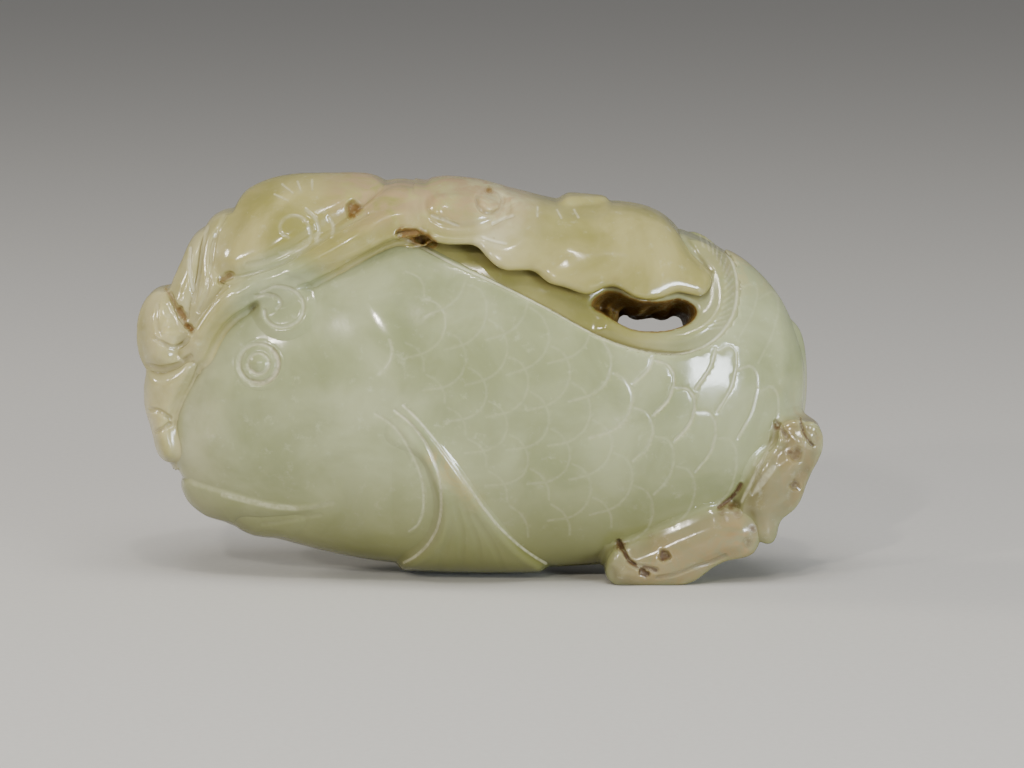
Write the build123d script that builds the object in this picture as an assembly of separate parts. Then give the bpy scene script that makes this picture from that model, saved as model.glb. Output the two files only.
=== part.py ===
"""A plump fish under a spray of leaves, carved from one pebble of jade.

The fish faces -X and its left side faces -Y. Every carved motif is a closed solid of its own
that meets its neighbours face to face. All sizes are in millimetres, and +Z is up.
"""
from build123d import *
import os

# Overall sizes of the pebble
HALF_LENGTH = 38.0          # from the middle of the body to its snout or its tail bend
REACH = 40.0                # longer than the carving is deep, for prisms that go right through

# How far each carved motif stands proud of the body's surface
LIP_RELIEF = 0.6
EYE_RELIEF = 0.7
GILL_RELIEF = 0.5
SCROLL_RELIEF = 0.8
FIN_RELIEF = 1.8
DORSAL_RELIEF = -0.7        # the dorsal fin lies a little below the flanks

EYE_X = -26.1
EYE_Z = 26.6
EYE_RADIUS = 2.3
FIN_GAP = 0.6               # half of the gap between the two pectoral fins under the belly
TAIL_FRONT = -9.5           # the tail lobes lie on the left flank, between these two depths
TAIL_BACK = -1.0
STALK_BACK = 8.0            # the tail's stalk passes behind the body, from TAIL_BACK to here

# The pierced hole is drilled from the left flank, downwards to the right flank
HOLE_SLOPE = 11.0           # degrees below level
HOLE_MOUTH = (0, -12.0, 32.6)   # a point level with the middle of its mouth on the left flank

# Upright elliptical sections of the fish: x, lowest z, highest z, half depth
BODY_STATIONS = [
    (-37.3, 16.2, 20.6, 1.9),
    (-36.2, 12.6, 25.0, 4.4),
    (-34.0, 8.6, 29.8, 6.8),
    (-30.0, 6.2, 35.0, 9.2),
    (-23.0, 4.0, 39.8, 11.7),
    (-14.0, 1.9, 42.8, 13.3),
    (-4.0, 0.9, 44.3, 14.0),
    (6.0, 0.8, 44.2, 14.0),
    (16.0, 1.4, 43.0, 13.4),
    (25.0, 3.4, 40.7, 11.8),
    (31.0, 6.9, 37.4, 9.6),
    (35.2, 11.6, 33.0, 6.8),
    (37.3, 16.8, 28.6, 4.2),
    (38.2, 20.6, 25.2, 2.0),
]

# The same for the leaf spray, which is as deep as the body but stands higher
SPRAY_STATIONS = [
    (-41.0, 14.0, 36.0, 4.2),
    (-37.0, 9.0, 41.5, 7.2),
    (-31.0, 4.0, 47.5, 10.4),
    (-22.0, 0.0, 51.0, 13.0),
    (-8.0, -2.0, 52.0, 14.4),
    (6.0, -2.0, 51.0, 14.6),
    (18.0, -1.0, 49.0, 13.8),
    (27.0, 2.0, 45.5, 11.8),
    (35.0, 9.0, 38.0, 8.0),
    (40.5, 13.0, 30.0, 5.0),
]

# Outlines seen along Y, as (x, z) points of one closed smooth curve each
HOLE = [(13.1, 33.6), (15.2, 35.2), (18.0, 34.2), (20.5, 33.9), (23.5, 34.3), (25.2, 33.1),
        (24.3, 31.5), (21.0, 30.4), (17.5, 30.6), (15.0, 32.2)]
TOP_BUD = [(-6.3, 45.2), (-5.0, 46.7), (-2.2, 47.1), (0.6, 46.8), (2.6, 45.6), (3.4, 43.9),
           (1.8, 42.3), (-1.5, 41.6), (-4.6, 42.0), (-6.3, 43.4)]
LEAF_TIP = [(9.8, 44.2), (10.4, 44.9), (12.2, 44.9), (14.9, 44.2), (14.4, 43.6), (12.2, 43.6),
            (10.4, 43.6)]
BACK_LEAF = [(1.5, 45.8), (5.5, 45.1), (9.0, 44.2), (15.0, 44.0), (20.0, 43.3), (23.0, 41.0),
             (25.2, 38.0), (27.0, 35.8), (26.2, 34.3), (23.0, 34.6), (20.3, 33.6), (18.0, 33.9),
             (15.4, 35.4), (12.8, 34.6), (10.0, 35.4), (8.0, 36.0), (6.6, 37.1), (3.6, 37.3),
             (1.2, 38.6), (0.0, 39.9), (-3.2, 40.2), (-6.0, 41.4), (-5.0, 43.6), (-2.0, 45.0)]
MAIN_STEM = [(-34.8, 27.2), (-33.0, 30.2), (-30.5, 33.2), (-27.5, 35.9), (-23.5, 37.8),
             (-19.5, 40.3), (-15.5, 42.7), (-12.0, 45.0), (-10.4, 46.1), (-8.0, 46.2),
             (-5.6, 45.4), (-5.0, 43.2), (-6.2, 41.6), (-9.3, 40.9), (-13.5, 39.2),
             (-18.0, 36.8), (-22.2, 34.8), (-26.5, 33.2), (-29.3, 31.2), (-31.2, 28.3),
             (-33.2, 26.2)]
FRONT_LEAF = [(-28.4, 43.0), (-26.6, 45.8), (-22.5, 47.3), (-17.0, 47.6), (-12.4, 47.1),
              (-10.8, 45.6), (-13.5, 42.8), (-17.0, 40.9), (-20.5, 38.8), (-24.6, 36.6),
              (-28.0, 35.9), (-30.6, 37.4), (-30.3, 40.3)]
INNER_BLADE = [(-29.4, 42.9), (-31.4, 41.7), (-32.3, 38.6), (-32.8, 35.0), (-33.6, 31.8),
               (-33.2, 29.6), (-31.0, 32.6), (-29.4, 35.6), (-29.2, 39.0), (-28.4, 42.2)]
OUTER_BLADE = [(-31.2, 41.1), (-33.2, 39.9), (-34.6, 37.0), (-35.7, 34.2), (-35.3, 32.0),
               (-33.9, 30.2), (-32.2, 33.0), (-31.6, 37.0)]
SEED_POD = [(-36.1, 33.6), (-37.6, 33.7), (-39.2, 32.2), (-40.0, 29.6), (-39.8, 26.8),
            (-38.8, 24.9), (-36.8, 24.6), (-34.6, 25.6), (-33.2, 27.6), (-33.4, 30.2),
            (-34.8, 32.4)]
SNOUT_SPRIG = [(-38.3, 25.2), (-39.0, 22.5), (-38.9, 20.0), (-38.4, 18.3), (-37.9, 16.4),
               (-37.5, 14.9), (-36.5, 14.1), (-35.6, 14.7), (-35.7, 16.8), (-35.9, 19.0),
               (-35.1, 21.5), (-33.6, 24.4), (-33.0, 26.4), (-35.6, 26.6)]
DORSAL_FIN = [(-9.4, 41.0), (-3.4, 38.2), (2.5, 35.4), (8.3, 32.5), (14.2, 29.4),
              (18.9, 27.8), (23.6, 27.3), (27.2, 28.6), (29.6, 31.0), (30.4, 33.9),
              (29.9, 37.0), (27.8, 39.6), (25.0, 41.6), (21.0, 41.0), (14.0, 39.0),
              (4.0, 41.0), (-4.0, 43.0)]
STEM_SCROLL = [(-27.0, 33.6), (-24.0, 35.2), (-21.2, 34.6), (-19.9, 32.0), (-20.9, 29.6),
               (-23.4, 28.8), (-25.5, 30.0), (-26.8, 31.6)]
UPPER_LIP = [(-38.0, 12.2), (-34.4, 12.1), (-31.0, 11.4), (-28.0, 10.7), (-25.0, 10.0),
             (-22.0, 9.6), (-19.4, 9.8), (-17.6, 10.2), (-19.6, 8.8), (-22.2, 8.1),
             (-25.0, 7.6), (-28.2, 7.2), (-29.6, 4.6), (-35.0, 4.0), (-38.6, 8.0)]
LOWER_LIP = [(-28.9, 5.0), (-28.0, 7.6), (-25.2, 7.9), (-22.6, 8.2), (-20.4, 8.0),
             (-21.2, 5.6), (-23.4, 3.4), (-27.2, 3.2)]
GILL_COVER = [(-13.0, 32.8), (-10.4, 29.8), (-10.0, 27.2), (-11.2, 24.8), (-11.4, 22.0),
              (-9.4, 18.6), (-7.0, 14.6), (-5.8, 11.0), (-5.8, 8.2), (-7.4, 5.8),
              (-11.0, 5.6), (-12.6, 9.6), (-13.2, 14.6), (-15.2, 20.6), (-15.8, 26.4),
              (-14.8, 31.0)]
PECTORAL_FIN = [(-10.2, 19.6), (-8.2, 21.2), (-5.5, 18.4), (-3.0, 15.2), (-1.0, 12.2),
                (1.2, 9.0), (3.2, 6.2), (5.6, 3.4), (7.8, 1.2), (6.4, -1.0), (0.0, -2.4),
                (-6.0, -2.4), (-9.4, -1.0), (-9.4, 1.6), (-6.6, 4.6), (-5.0, 7.6),
                (-4.7, 10.4), (-5.3, 13.4), (-7.2, 16.6)]
TAIL_LOWER_LOBE = [(15.1, 2.6), (15.6, 0.4), (18.0, -0.3), (22.0, -0.2), (25.4, 0.8),
                   (26.8, 1.9), (29.4, 3.1), (31.8, 3.8), (32.6, 5.6), (31.9, 7.8),
                   (29.2, 8.9), (25.0, 7.9), (22.2, 6.7), (20.0, 5.6), (17.4, 4.6)]
TAIL_UPPER_LOBE = [(34.9, 17.4), (35.8, 19.2), (38.0, 19.2), (39.7, 18.2), (40.0, 16.6),
                   (38.8, 13.8), (37.8, 11.4), (36.6, 9.0), (34.9, 7.4), (34.2, 5.3),
                   (32.8, 5.3), (31.2, 7.0), (30.7, 9.4), (31.4, 12.0), (33.0, 15.0)]
TAIL_STALK = [(35.6, 29.6), (37.6, 29.4), (38.5, 25.0), (38.4, 19.0), (37.4, 13.8),
              (35.0, 9.0), (32.6, 6.2), (29.6, 5.4), (29.8, 8.6), (32.4, 13.0),
              (34.6, 18.4), (35.4, 24.0)]
# The head lies forward of this curve, which follows the gill slit down to the throat
GILL_SLIT = [(-11.4, 56.0), (-10.8, 40.0), (-10.2, 31.0), (-10.1, 27.2), (-11.3, 24.6),
             (-11.2, 21.6), (-9.2, 18.2), (-7.0, 14.4), (-6.0, 10.6), (-6.2, 7.4),
             (-8.0, 3.4), (-10.0, -6.0)]


def pebble(stations, grow=0.0):
    """A smooth closed solid through the stations, made larger all round by grow."""
    stretch = 1 + grow / HALF_LENGTH
    sections = []
    for x, low, high, half_depth in stations:
        middle = Plane(origin=(x * stretch, 0, (low + high) / 2), x_dir=(0, 1, 0), z_dir=(1, 0, 0))
        sections.append(middle * Ellipse(half_depth + grow, (high - low) / 2 + grow))
    return loft(sections)


def flat_outline(points):
    """The flat face inside a closed smooth curve."""
    return make_face(Spline(*points, periodic=True))


def prism(face, front=-REACH, back=REACH):
    """The face stood up on the XZ plane and pulled out along Y, from front to back."""
    stood_up = Location((0, back, 0)) * (Plane.XZ * face)
    return extrude(stood_up, amount=back - front)


def drilled_hole(points):
    """The prism of an outline at the hole's mouth, tipped down towards the right flank."""
    mouth = Location(HOLE_MOUTH)
    return mouth * Rot(-HOLE_SLOPE, 0, 0) * mouth.inverse() * prism(flat_outline(points))


def largest(shape):
    """The one solid of a cut that matters, without the slivers beside it."""
    return max(shape.solids(), key=lambda solid: solid.volume)


def side_of_body(side):
    """Everything on one side of the middle plane: side is -1 for the fish's left, 1 for its right."""
    middle = side * (FIN_GAP + REACH / 2)
    return Pos(0, middle, HALF_LENGTH / 2) * Box(4 * REACH, REACH, 4 * REACH)


body = pebble(BODY_STATIONS)
spray_envelope = pebble(SPRAY_STATIONS)
above_table = Pos(0, 0, REACH) * Box(4 * REACH, 4 * REACH, 2 * REACH)
nodes = {}

# Motifs that lie over the ridge of the back and show on both flanks. Each one gives way to
# those before it, so that neighbours share a wall.
RIDGE_MOTIFS = [
    ("top_bud", TOP_BUD),
    ("leaf_tip", LEAF_TIP),
    ("back_leaf", BACK_LEAF),
    ("main_stem", MAIN_STEM),
    ("front_leaf", FRONT_LEAF),
    ("inner_leaf_blade", INNER_BLADE),
    ("outer_leaf_blade", OUTER_BLADE),
    ("seed_pod", SEED_POD),
    ("snout_sprig", SNOUT_SPRIG),
]
hole = drilled_hole(HOLE)
taken = None
for name, points in RIDGE_MOTIFS:
    outline = flat_outline(points)
    free_part = outline if taken is None else outline - taken
    nodes[name] = largest(spray_envelope & prism(free_part))
    taken = outline if taken is None else taken + outline
nodes["back_leaf"] = largest(nodes["back_leaf"] - hole)

# The dorsal fin is a band under the leaves that turns up round the pierced hole
dorsal_outline = flat_outline(DORSAL_FIN)
dorsal_skin = pebble(BODY_STATIONS, DORSAL_RELIEF)
nodes["dorsal_fin"] = largest(dorsal_skin & prism(dorsal_outline - taken) - hole)
taken = taken + dorsal_outline

# The tail: a stalk that passes behind the body's right end, and two lobes folded to the front
lower_lobe = prism(flat_outline(TAIL_LOWER_LOBE), TAIL_FRONT, TAIL_BACK) & above_table
upper_lobe = prism(flat_outline(TAIL_UPPER_LOBE), TAIL_FRONT, TAIL_BACK) - lower_lobe
stalk = spray_envelope & prism(flat_outline(TAIL_STALK), TAIL_BACK, STALK_BACK)
nodes["tail_lower_lobe"] = largest(lower_lobe)
nodes["tail_upper_lobe"] = largest(upper_lobe)
nodes["tail_stalk"] = largest(stalk)

# The fish's head and trunk meet at the gill slit
slit = Spline(*GILL_SLIT)
slit_top = GILL_SLIT[0]
slit_foot = GILL_SLIT[-1]
before_snout = -3 * REACH
forward = Polyline(slit_foot, (before_snout, slit_foot[1]), (before_snout, slit_top[1]), slit_top)
head_area = prism(make_face([slit, forward]))
carved_body = body - prism(taken) - hole
nodes["head"] = largest(carved_body & head_area)
nodes["trunk"] = largest(carved_body - head_area - lower_lobe - upper_lobe - stalk)

# Lips wrap round the muzzle, proud of the head
lip_skin = pebble(BODY_STATIONS, LIP_RELIEF) - body
upper_lip_outline = flat_outline(UPPER_LIP)
nodes["upper_lip"] = largest(lip_skin & prism(upper_lip_outline - taken))
nodes["lower_lip"] = largest(lip_skin & prism(flat_outline(LOWER_LIP) - upper_lip_outline))

# Paired motifs on the two flanks
fin_outline = flat_outline(PECTORAL_FIN)
gill_outline = flat_outline(GILL_COVER) - taken - fin_outline
eye_outline = Pos(EYE_X, EYE_Z) * Circle(EYE_RADIUS)
fin_skin = (pebble(BODY_STATIONS, FIN_RELIEF) - body) & above_table
gill_skin = pebble(BODY_STATIONS, GILL_RELIEF) - body
eye_skin = pebble(BODY_STATIONS, EYE_RELIEF) - body
for flank, side in (("left", -1), ("right", 1)):
    half = side_of_body(side)
    nodes[flank + "_eye"] = largest(eye_skin & prism(eye_outline) & half)
    nodes[flank + "_gill_cover"] = largest(gill_skin & prism(gill_outline) & half)
    nodes[flank + "_pectoral_fin"] = largest(fin_skin & prism(fin_outline) & half)

# The scroll at the root of the stem is on the left flank only
scroll_skin = pebble(BODY_STATIONS, SCROLL_RELIEF) - body
scroll_outline = flat_outline(STEM_SCROLL) - taken
nodes["stem_scroll"] = largest(scroll_skin & prism(scroll_outline) & side_of_body(-1))

# The origin is the middle of the bottom of the whole carving
whole = Compound(list(nodes.values())).bounding_box()
to_origin = Location((-whole.center().X, -whole.center().Y, -whole.min.Z))

os.makedirs("parts", exist_ok=True)
for name, solid in nodes.items():
    export_step(to_origin * solid, "parts/" + name + ".step")
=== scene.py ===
"""A jade pebble carving of a fish under a leaf spray, sculpted over its CAD frame.

Lengths are millimetres in the frame's axes until a mesh is handed to Blender, which takes metres.
Each CAD node gives the outline and place of one carved motif. The sculpted motif is a closed skin
of a distance field, with the carver's lines pressed into it along its normals.
"""
import math

import bmesh
import bpy
import numpy as np
import openvdb
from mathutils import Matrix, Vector


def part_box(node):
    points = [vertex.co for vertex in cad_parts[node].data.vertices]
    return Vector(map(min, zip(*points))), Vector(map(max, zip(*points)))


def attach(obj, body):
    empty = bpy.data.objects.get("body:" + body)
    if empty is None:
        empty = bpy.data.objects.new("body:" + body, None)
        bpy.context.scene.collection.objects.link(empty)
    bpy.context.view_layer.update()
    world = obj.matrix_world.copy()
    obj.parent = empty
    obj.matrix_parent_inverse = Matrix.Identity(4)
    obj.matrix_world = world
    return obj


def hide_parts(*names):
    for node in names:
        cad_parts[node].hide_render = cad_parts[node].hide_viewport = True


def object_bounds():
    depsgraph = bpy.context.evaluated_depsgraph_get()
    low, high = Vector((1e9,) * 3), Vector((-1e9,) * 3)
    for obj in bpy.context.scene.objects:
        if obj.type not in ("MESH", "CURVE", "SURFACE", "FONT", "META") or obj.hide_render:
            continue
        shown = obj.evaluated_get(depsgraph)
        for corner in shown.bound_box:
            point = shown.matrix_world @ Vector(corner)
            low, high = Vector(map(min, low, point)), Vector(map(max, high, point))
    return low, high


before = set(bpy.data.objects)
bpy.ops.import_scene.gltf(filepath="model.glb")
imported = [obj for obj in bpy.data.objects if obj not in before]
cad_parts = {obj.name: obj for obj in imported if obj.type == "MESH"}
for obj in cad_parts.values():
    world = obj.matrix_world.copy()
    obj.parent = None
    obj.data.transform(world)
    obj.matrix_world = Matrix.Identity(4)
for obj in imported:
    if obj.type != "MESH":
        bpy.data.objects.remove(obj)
cad_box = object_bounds()

MM = 0.001

# ---------------------------------------------------------------- the eye that the carving is drawn for
EYE_ELEVATION = math.radians(8.0)
EYE_DISTANCE = 600.0
FRAME_WIDTH = 120.4         # what the picture takes in, from side to side, at the carving
SENSOR = 36.0
LOW = np.array(cad_box[0]) / MM
HIGH = np.array(cad_box[1]) / MM
AIM = (LOW + HIGH) / 2 + np.array([3.9, 0.0, -1.3])
EYE_AXIS = np.array([0.0, math.cos(EYE_ELEVATION), -math.sin(EYE_ELEVATION)])
EYE_UP = np.array([0.0, math.sin(EYE_ELEVATION), math.cos(EYE_ELEVATION)])
DRAWN_HEIGHT_OF_AIM = 23.4  # on the drawing plane, height 0 is where the tail rests

# ---------------------------------------------------------------- charts: maps over the XZ plane
CELL = 0.1
CHART_LOW = (-43.0, -5.0)
CHART_CELLS = (860, 580)
CHART_X = CHART_LOW[0] + CELL * np.arange(CHART_CELLS[0])
CHART_Z = CHART_LOW[1] + CELL * np.arange(CHART_CELLS[1])
CELLS_X = CHART_X[:, None]
CELLS_Z = CHART_Z[None, :]
OUTLINE_SOFTNESS = 0.22
EDGE_REACH = 4.5            # outline distances are worked out this far on both sides


def sample(chart, x, z):
    """The chart's value at each point, interpolated between its cells."""
    u = np.clip((x - CHART_LOW[0]) / CELL, 0, CHART_CELLS[0] - 1.001)
    v = np.clip((z - CHART_LOW[1]) / CELL, 0, CHART_CELLS[1] - 1.001)
    i = u.astype(int)
    j = v.astype(int)
    fu = u - i
    fv = v - j
    near = chart[i, j] * (1 - fv) + chart[i, j + 1] * fv
    far = chart[i + 1, j] * (1 - fv) + chart[i + 1, j + 1] * fv
    return near * (1 - fu) + far * fu


def value_at(chart, p):
    """The chart's value at each point in space."""
    return sample(chart, p[:, 0], p[:, 2])


def blurred(chart, sigma):
    """The chart smoothed by a bell curve of that many millimetres."""
    reach = int(3 * sigma / CELL) + 1
    weights = np.exp(-0.5 * (np.arange(-reach, reach + 1) * CELL / sigma) ** 2)
    weights /= weights.sum()
    for axis in (0, 1):
        padded = np.pad(chart, [(reach, reach) if a == axis else (0, 0) for a in (0, 1)], mode="edge")
        total = np.zeros_like(chart, dtype=float)
        for step, weight in enumerate(weights):
            window = [slice(None), slice(None)]
            window[axis] = slice(step, step + chart.shape[axis])
            total += weight * padded[tuple(window)]
        chart = total
    return chart


def covered(nodes):
    """A chart that is True where the CAD nodes cover the XZ plane."""
    mask = np.zeros(CHART_CELLS, bool)
    for node in nodes:
        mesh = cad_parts[node].data
        mesh.calc_loop_triangles()
        co = np.empty(len(mesh.vertices) * 3)
        mesh.vertices.foreach_get("co", co)
        corner = np.empty(len(mesh.loop_triangles) * 3, np.int32)
        mesh.loop_triangles.foreach_get("vertices", corner)
        flat = (co.reshape(-1, 3) / MM)[corner][:, [0, 2]].reshape(-1, 3, 2)
        sides = np.linalg.norm(flat - np.roll(flat, 1, axis=1), axis=2).max(axis=1)
        steps = np.ceil(sides / (0.7 * CELL)).astype(int) + 1
        for count in np.unique(steps):
            a, b = np.meshgrid(np.arange(count + 1), np.arange(count + 1))
            keep = (a + b) <= count
            a = (a[keep] / count)[None, :, None]
            b = (b[keep] / count)[None, :, None]
            some = flat[steps == count]
            spots = some[:, None, 0] * (1 - a - b) + some[:, None, 1] * a + some[:, None, 2] * b
            spots = spots.reshape(-1, 2)
            i = np.rint((spots[:, 0] - CHART_LOW[0]) / CELL).astype(int)
            j = np.rint((spots[:, 1] - CHART_LOW[1]) / CELL).astype(int)
            mask[i, j] = True
    return mask


def steps_to(mask):
    """Distance from each cell to the nearest True cell, up to EDGE_REACH."""
    reach = int(EDGE_REACH / CELL)
    far = float(reach)
    column = np.where(mask, 0.0, far)
    for _ in range(reach):
        column[:, 1:] = np.minimum(column[:, 1:], column[:, :-1] + 1)
        column[:, :-1] = np.minimum(column[:, :-1], column[:, 1:] + 1)
    squared = column ** 2
    best = squared.copy()
    for step in range(1, reach + 1):
        best[step:] = np.minimum(best[step:], squared[:-step] + step * step)
        best[:-step] = np.minimum(best[:-step], squared[step:] + step * step)
    return np.minimum(np.sqrt(best), far) * CELL


def outline_distance(mask):
    """Distance inside the outline of a mask, negative outside it."""
    return blurred(steps_to(~mask) - steps_to(mask), OUTLINE_SOFTNESS)


# ---------------------------------------------------------------- curves and paths
def smooth_curve(knots, values):
    """A cubic through the values at the knots, straight beyond its ends."""
    knots = np.array(knots, float)
    values = np.array(values, float)
    slopes = np.gradient(values, knots)

    def curve(x):
        i = np.clip(np.searchsorted(knots, x) - 1, 0, len(knots) - 2)
        width = knots[i + 1] - knots[i]
        t = np.clip((x - knots[i]) / width, 0, 1)
        rise = values[i + 1] - values[i]
        start = slopes[i] * width
        end = slopes[i + 1] * width
        inner = values[i] + t * start + t * t * (3 * rise - 2 * start - end)
        inner = inner + t ** 3 * (start + end - 2 * rise)
        before = np.minimum(x - knots[0], 0) * slopes[0]
        after = np.maximum(x - knots[-1], 0) * slopes[-1]
        return inner + before + after

    return curve


def smooth_step(value, low, high):
    """From 0 at low to 1 at high, level at both ends."""
    t = np.clip((value - low) / (high - low), 0, 1)
    return t * t * (3 - 2 * t)


PATH_SPACING = 0.3


def closed_path(points):
    """Points along a smooth closed curve through the given ones."""
    p = np.array(points, float)
    before = np.roll(p, 1, axis=0)
    after = np.roll(p, -1, axis=0)
    beyond = np.roll(p, -2, axis=0)
    return through(before, p, after, beyond)


def open_path(points):
    """Points along a smooth open curve through the given ones."""
    p = np.array(points, float)
    if len(p) == 2:
        count = max(2, int(np.linalg.norm(p[1] - p[0]) / PATH_SPACING) + 1)
        return p[0] + np.linspace(0, 1, count)[:, None] * (p[1] - p[0])
    p = np.vstack([2 * p[0] - p[1], p, 2 * p[-1] - p[-2]])
    path = through(p[:-3], p[1:-2], p[2:-1], p[3:])
    return np.vstack([path, p[-2]])


def through(before, start, end, beyond):
    """Catmull-Rom spans from start to end."""
    spans = []
    for a, b, c, d in zip(before, start, end, beyond):
        count = max(1, int(np.linalg.norm(c - b) / PATH_SPACING))
        t = np.arange(count)[:, None] / count
        bend = (2 * a - 5 * b + 4 * c - d) * t ** 2 + (3 * b - a - 3 * c + d) * t ** 3
        spans.append(b + 0.5 * ((c - a) * t + bend))
    return np.vstack(spans)


def inside_path(path):
    """A chart that is True inside a closed path."""
    x = CHART_X[:, None]
    z = CHART_Z[None, :]
    inside = np.zeros(CHART_CELLS, bool)
    for (xa, za), (xb, zb) in zip(path, np.roll(path, -1, axis=0)):
        if za != zb:
            crosses = (za > z) != (zb > z)
            inside ^= crosses & (x < (xb - xa) * (z - za) / (zb - za) + xa)
    return inside


# ---------------------------------------------------------------- the pebble and its skins
# Upright elliptical sections: x, lowest z, highest z, half depth. The fish's are those of the CAD.
FISH_SECTIONS = [
    (-37.3, 16.2, 20.6, 1.9),
    (-36.2, 12.6, 25.0, 4.4),
    (-34.0, 8.6, 29.8, 6.8),
    (-30.0, 6.2, 35.0, 9.2),
    (-23.0, 4.0, 39.8, 11.7),
    (-14.0, 1.9, 42.8, 13.3),
    (-4.0, 0.9, 44.3, 14.0),
    (6.0, 0.8, 44.2, 14.0),
    (16.0, 1.4, 43.0, 13.4),
    (25.0, 3.4, 40.7, 11.8),
    (31.0, 6.9, 37.4, 9.6),
    (35.2, 11.6, 33.0, 6.8),
    (37.3, 16.8, 28.6, 4.2),
    (38.2, 20.6, 25.2, 2.0),
]
SPRAY_SECTIONS = [
    (-40.6, 15.0, 34.0, 3.5),
    (-38.0, 10.0, 38.0, 6.0),
    (-34.0, 5.0, 42.3, 8.6),
    (-30.0, 2.0, 45.2, 10.6),
    (-24.0, 0.0, 47.9, 12.6),
    (-16.0, -1.0, 48.4, 14.0),
    (-6.0, -1.5, 48.0, 14.9),
    (2.0, -1.5, 46.8, 15.2),
    (10.0, -1.0, 45.3, 15.0),
    (18.0, 0.0, 44.7, 14.3),
    (24.0, 2.0, 43.0, 13.0),
    (30.0, 5.0, 39.5, 10.8),
    (36.0, 11.0, 33.0, 7.0),
    (40.5, 13.0, 27.0, 4.0),
]


class Skin:
    """A smooth pebble: half its depth squared, as a chart, with the chart's slopes."""

    def __init__(self, sections):
        x, low, high, depth = np.array(sections).T
        half_height = (high - low) / 2
        middle = smooth_curve(x, (low + high) / 2)(CHART_X)[:, None]
        height_squared = smooth_curve(x, half_height ** 2)(CHART_X)[:, None]
        ratio = smooth_curve(x, depth / half_height)(CHART_X)[:, None]
        self.squared = ratio ** 2 * (height_squared - (CELLS_Z - middle) ** 2)
        self.slope_x, self.slope_z = np.gradient(self.squared, CELL)

    def distance(self, p):
        """Signed distance from each point to the skin, negative inside."""
        s = value_at(self.squared, p)
        sx = value_at(self.slope_x, p)
        sz = value_at(self.slope_z, p)
        steepness = np.sqrt(4 * p[:, 1] ** 2 + sx ** 2 + sz ** 2 + 0.04)
        return (p[:, 1] ** 2 - s) / steepness


fish_skin = Skin(FISH_SECTIONS)
spray_skin = Skin(SPRAY_SECTIONS)


def in_both(a, b, radius):
    """Inside two shapes at once, with the edge where they meet rounded to that radius."""
    corner = np.hypot(np.maximum(a + radius, 0), np.maximum(b + radius, 0))
    return np.minimum(np.maximum(a, b), -radius) + corner


def in_either(a, b, radius):
    """Inside either of two shapes, with the crease where they meet filled to that radius."""
    return -in_both(-a, -b, radius)


# ---------------------------------------------------------------- outlines of the motifs
# Each is a chart of the distance inside an outline on the XZ plane, negative outside it.
def edge_chart(*nodes):
    """The outline of some CAD nodes."""
    return outline_distance(covered(nodes))


def drawn_edge(points):
    """A smooth closed outline through the points."""
    return outline_distance(inside_path(closed_path(points)))


def inside_circle(x, z, centre, radius):
    """How far inside a circle, on a chart or at points."""
    return radius - np.hypot(x - centre[0], z - centre[1])


def behind(points):
    """What is behind an upright line through the points, each given as a height and its x."""
    return CELLS_X - smooth_curve(*np.array(points).T)(CHART_Z)[None, :]


# The head and the trunk are one smooth surface, so one piece stands for both
BODY = "fish_body"
BODY_NODES = ["head", "trunk"]
NODES_OF = {name: [name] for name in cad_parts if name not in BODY_NODES}
NODES_OF[BODY] = BODY_NODES
edges = {name: edge_chart(*nodes) for name, nodes in NODES_OF.items()}

# The muzzle falls back under the snout sprig, and the lips stand a little in front of it
MUZZLE = [(-10.0, -20.0), (4.0, -29.0), (7.8, -33.1), (11.0, -34.3), (12.0, -34.9), (14.0, -36.3),
          (16.0, -38.0), (19.0, -41.0), (30.0, -50.0)]
LIP_FRONT = [(-10.0, -20.0), (4.0, -27.0), (6.0, -29.6), (6.6, -31.2), (7.1, -32.6), (7.9, -33.8),
             (8.8, -34.7), (9.8, -35.1), (10.8, -35.2), (11.7, -34.8), (12.4, -34.1), (14.0, -33.0),
             (30.0, -33.0)]
muzzle = behind(MUZZLE)
lip_front = behind(LIP_FRONT)

# The chin is notched where the upper lip ends and again where the lower lip ends
UPPER_LIP_END = (-28.45, 6.4)
LOWER_LIP_END = (-23.2, 2.4)
LOWER_LIP_NOTCH = 2.4
CHIN_MARGIN = 0.3           # the body stays this far inside the lips' notches
past_lip = np.maximum(CELLS_X - UPPER_LIP_END[0], CELLS_Z - UPPER_LIP_END[1])
chin = np.minimum(past_lip, -inside_circle(CELLS_X, CELLS_Z, LOWER_LIP_END, LOWER_LIP_NOTCH))
edges[BODY] = np.minimum(edges[BODY], chin - CHIN_MARGIN)

# The lips' outlines run on past the muzzle, so that the lips stand proud of it in front as well
UPPER_LIP = [(-38.0, 12.2), (-34.4, 12.1), (-31.0, 11.4), (-28.0, 10.7), (-25.0, 10.0),
             (-22.0, 9.6), (-19.4, 9.8), (-17.6, 10.2), (-19.6, 8.8), (-22.2, 8.1),
             (-25.0, 7.6), (-28.2, 7.2), (-29.6, 4.6), (-35.0, 4.0), (-38.6, 8.0)]
LOWER_LIP = [(-28.9, 5.0), (-28.0, 7.6), (-25.2, 7.9), (-22.6, 8.2), (-20.4, 8.0),
             (-21.2, 5.6), (-23.4, 3.4), (-27.2, 3.2)]
upper_lip_edge = np.minimum(np.minimum(drawn_edge(UPPER_LIP), chin), lip_front)
lower_lip_edge = np.minimum(drawn_edge(LOWER_LIP), chin)

EYE_CENTRE = (-25.3, 26.25)
EYE_RADIUS = 3.3
eye_edge = inside_circle(CELLS_X, CELLS_Z, EYE_CENTRE, EYE_RADIUS)

SCROLL_CENTRE = (-22.5, 33.0)
SCROLL_RADIUS = 2.85
scroll_edge = inside_circle(CELLS_X, CELLS_Z, SCROLL_CENTRE, SCROLL_RADIUS)

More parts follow.
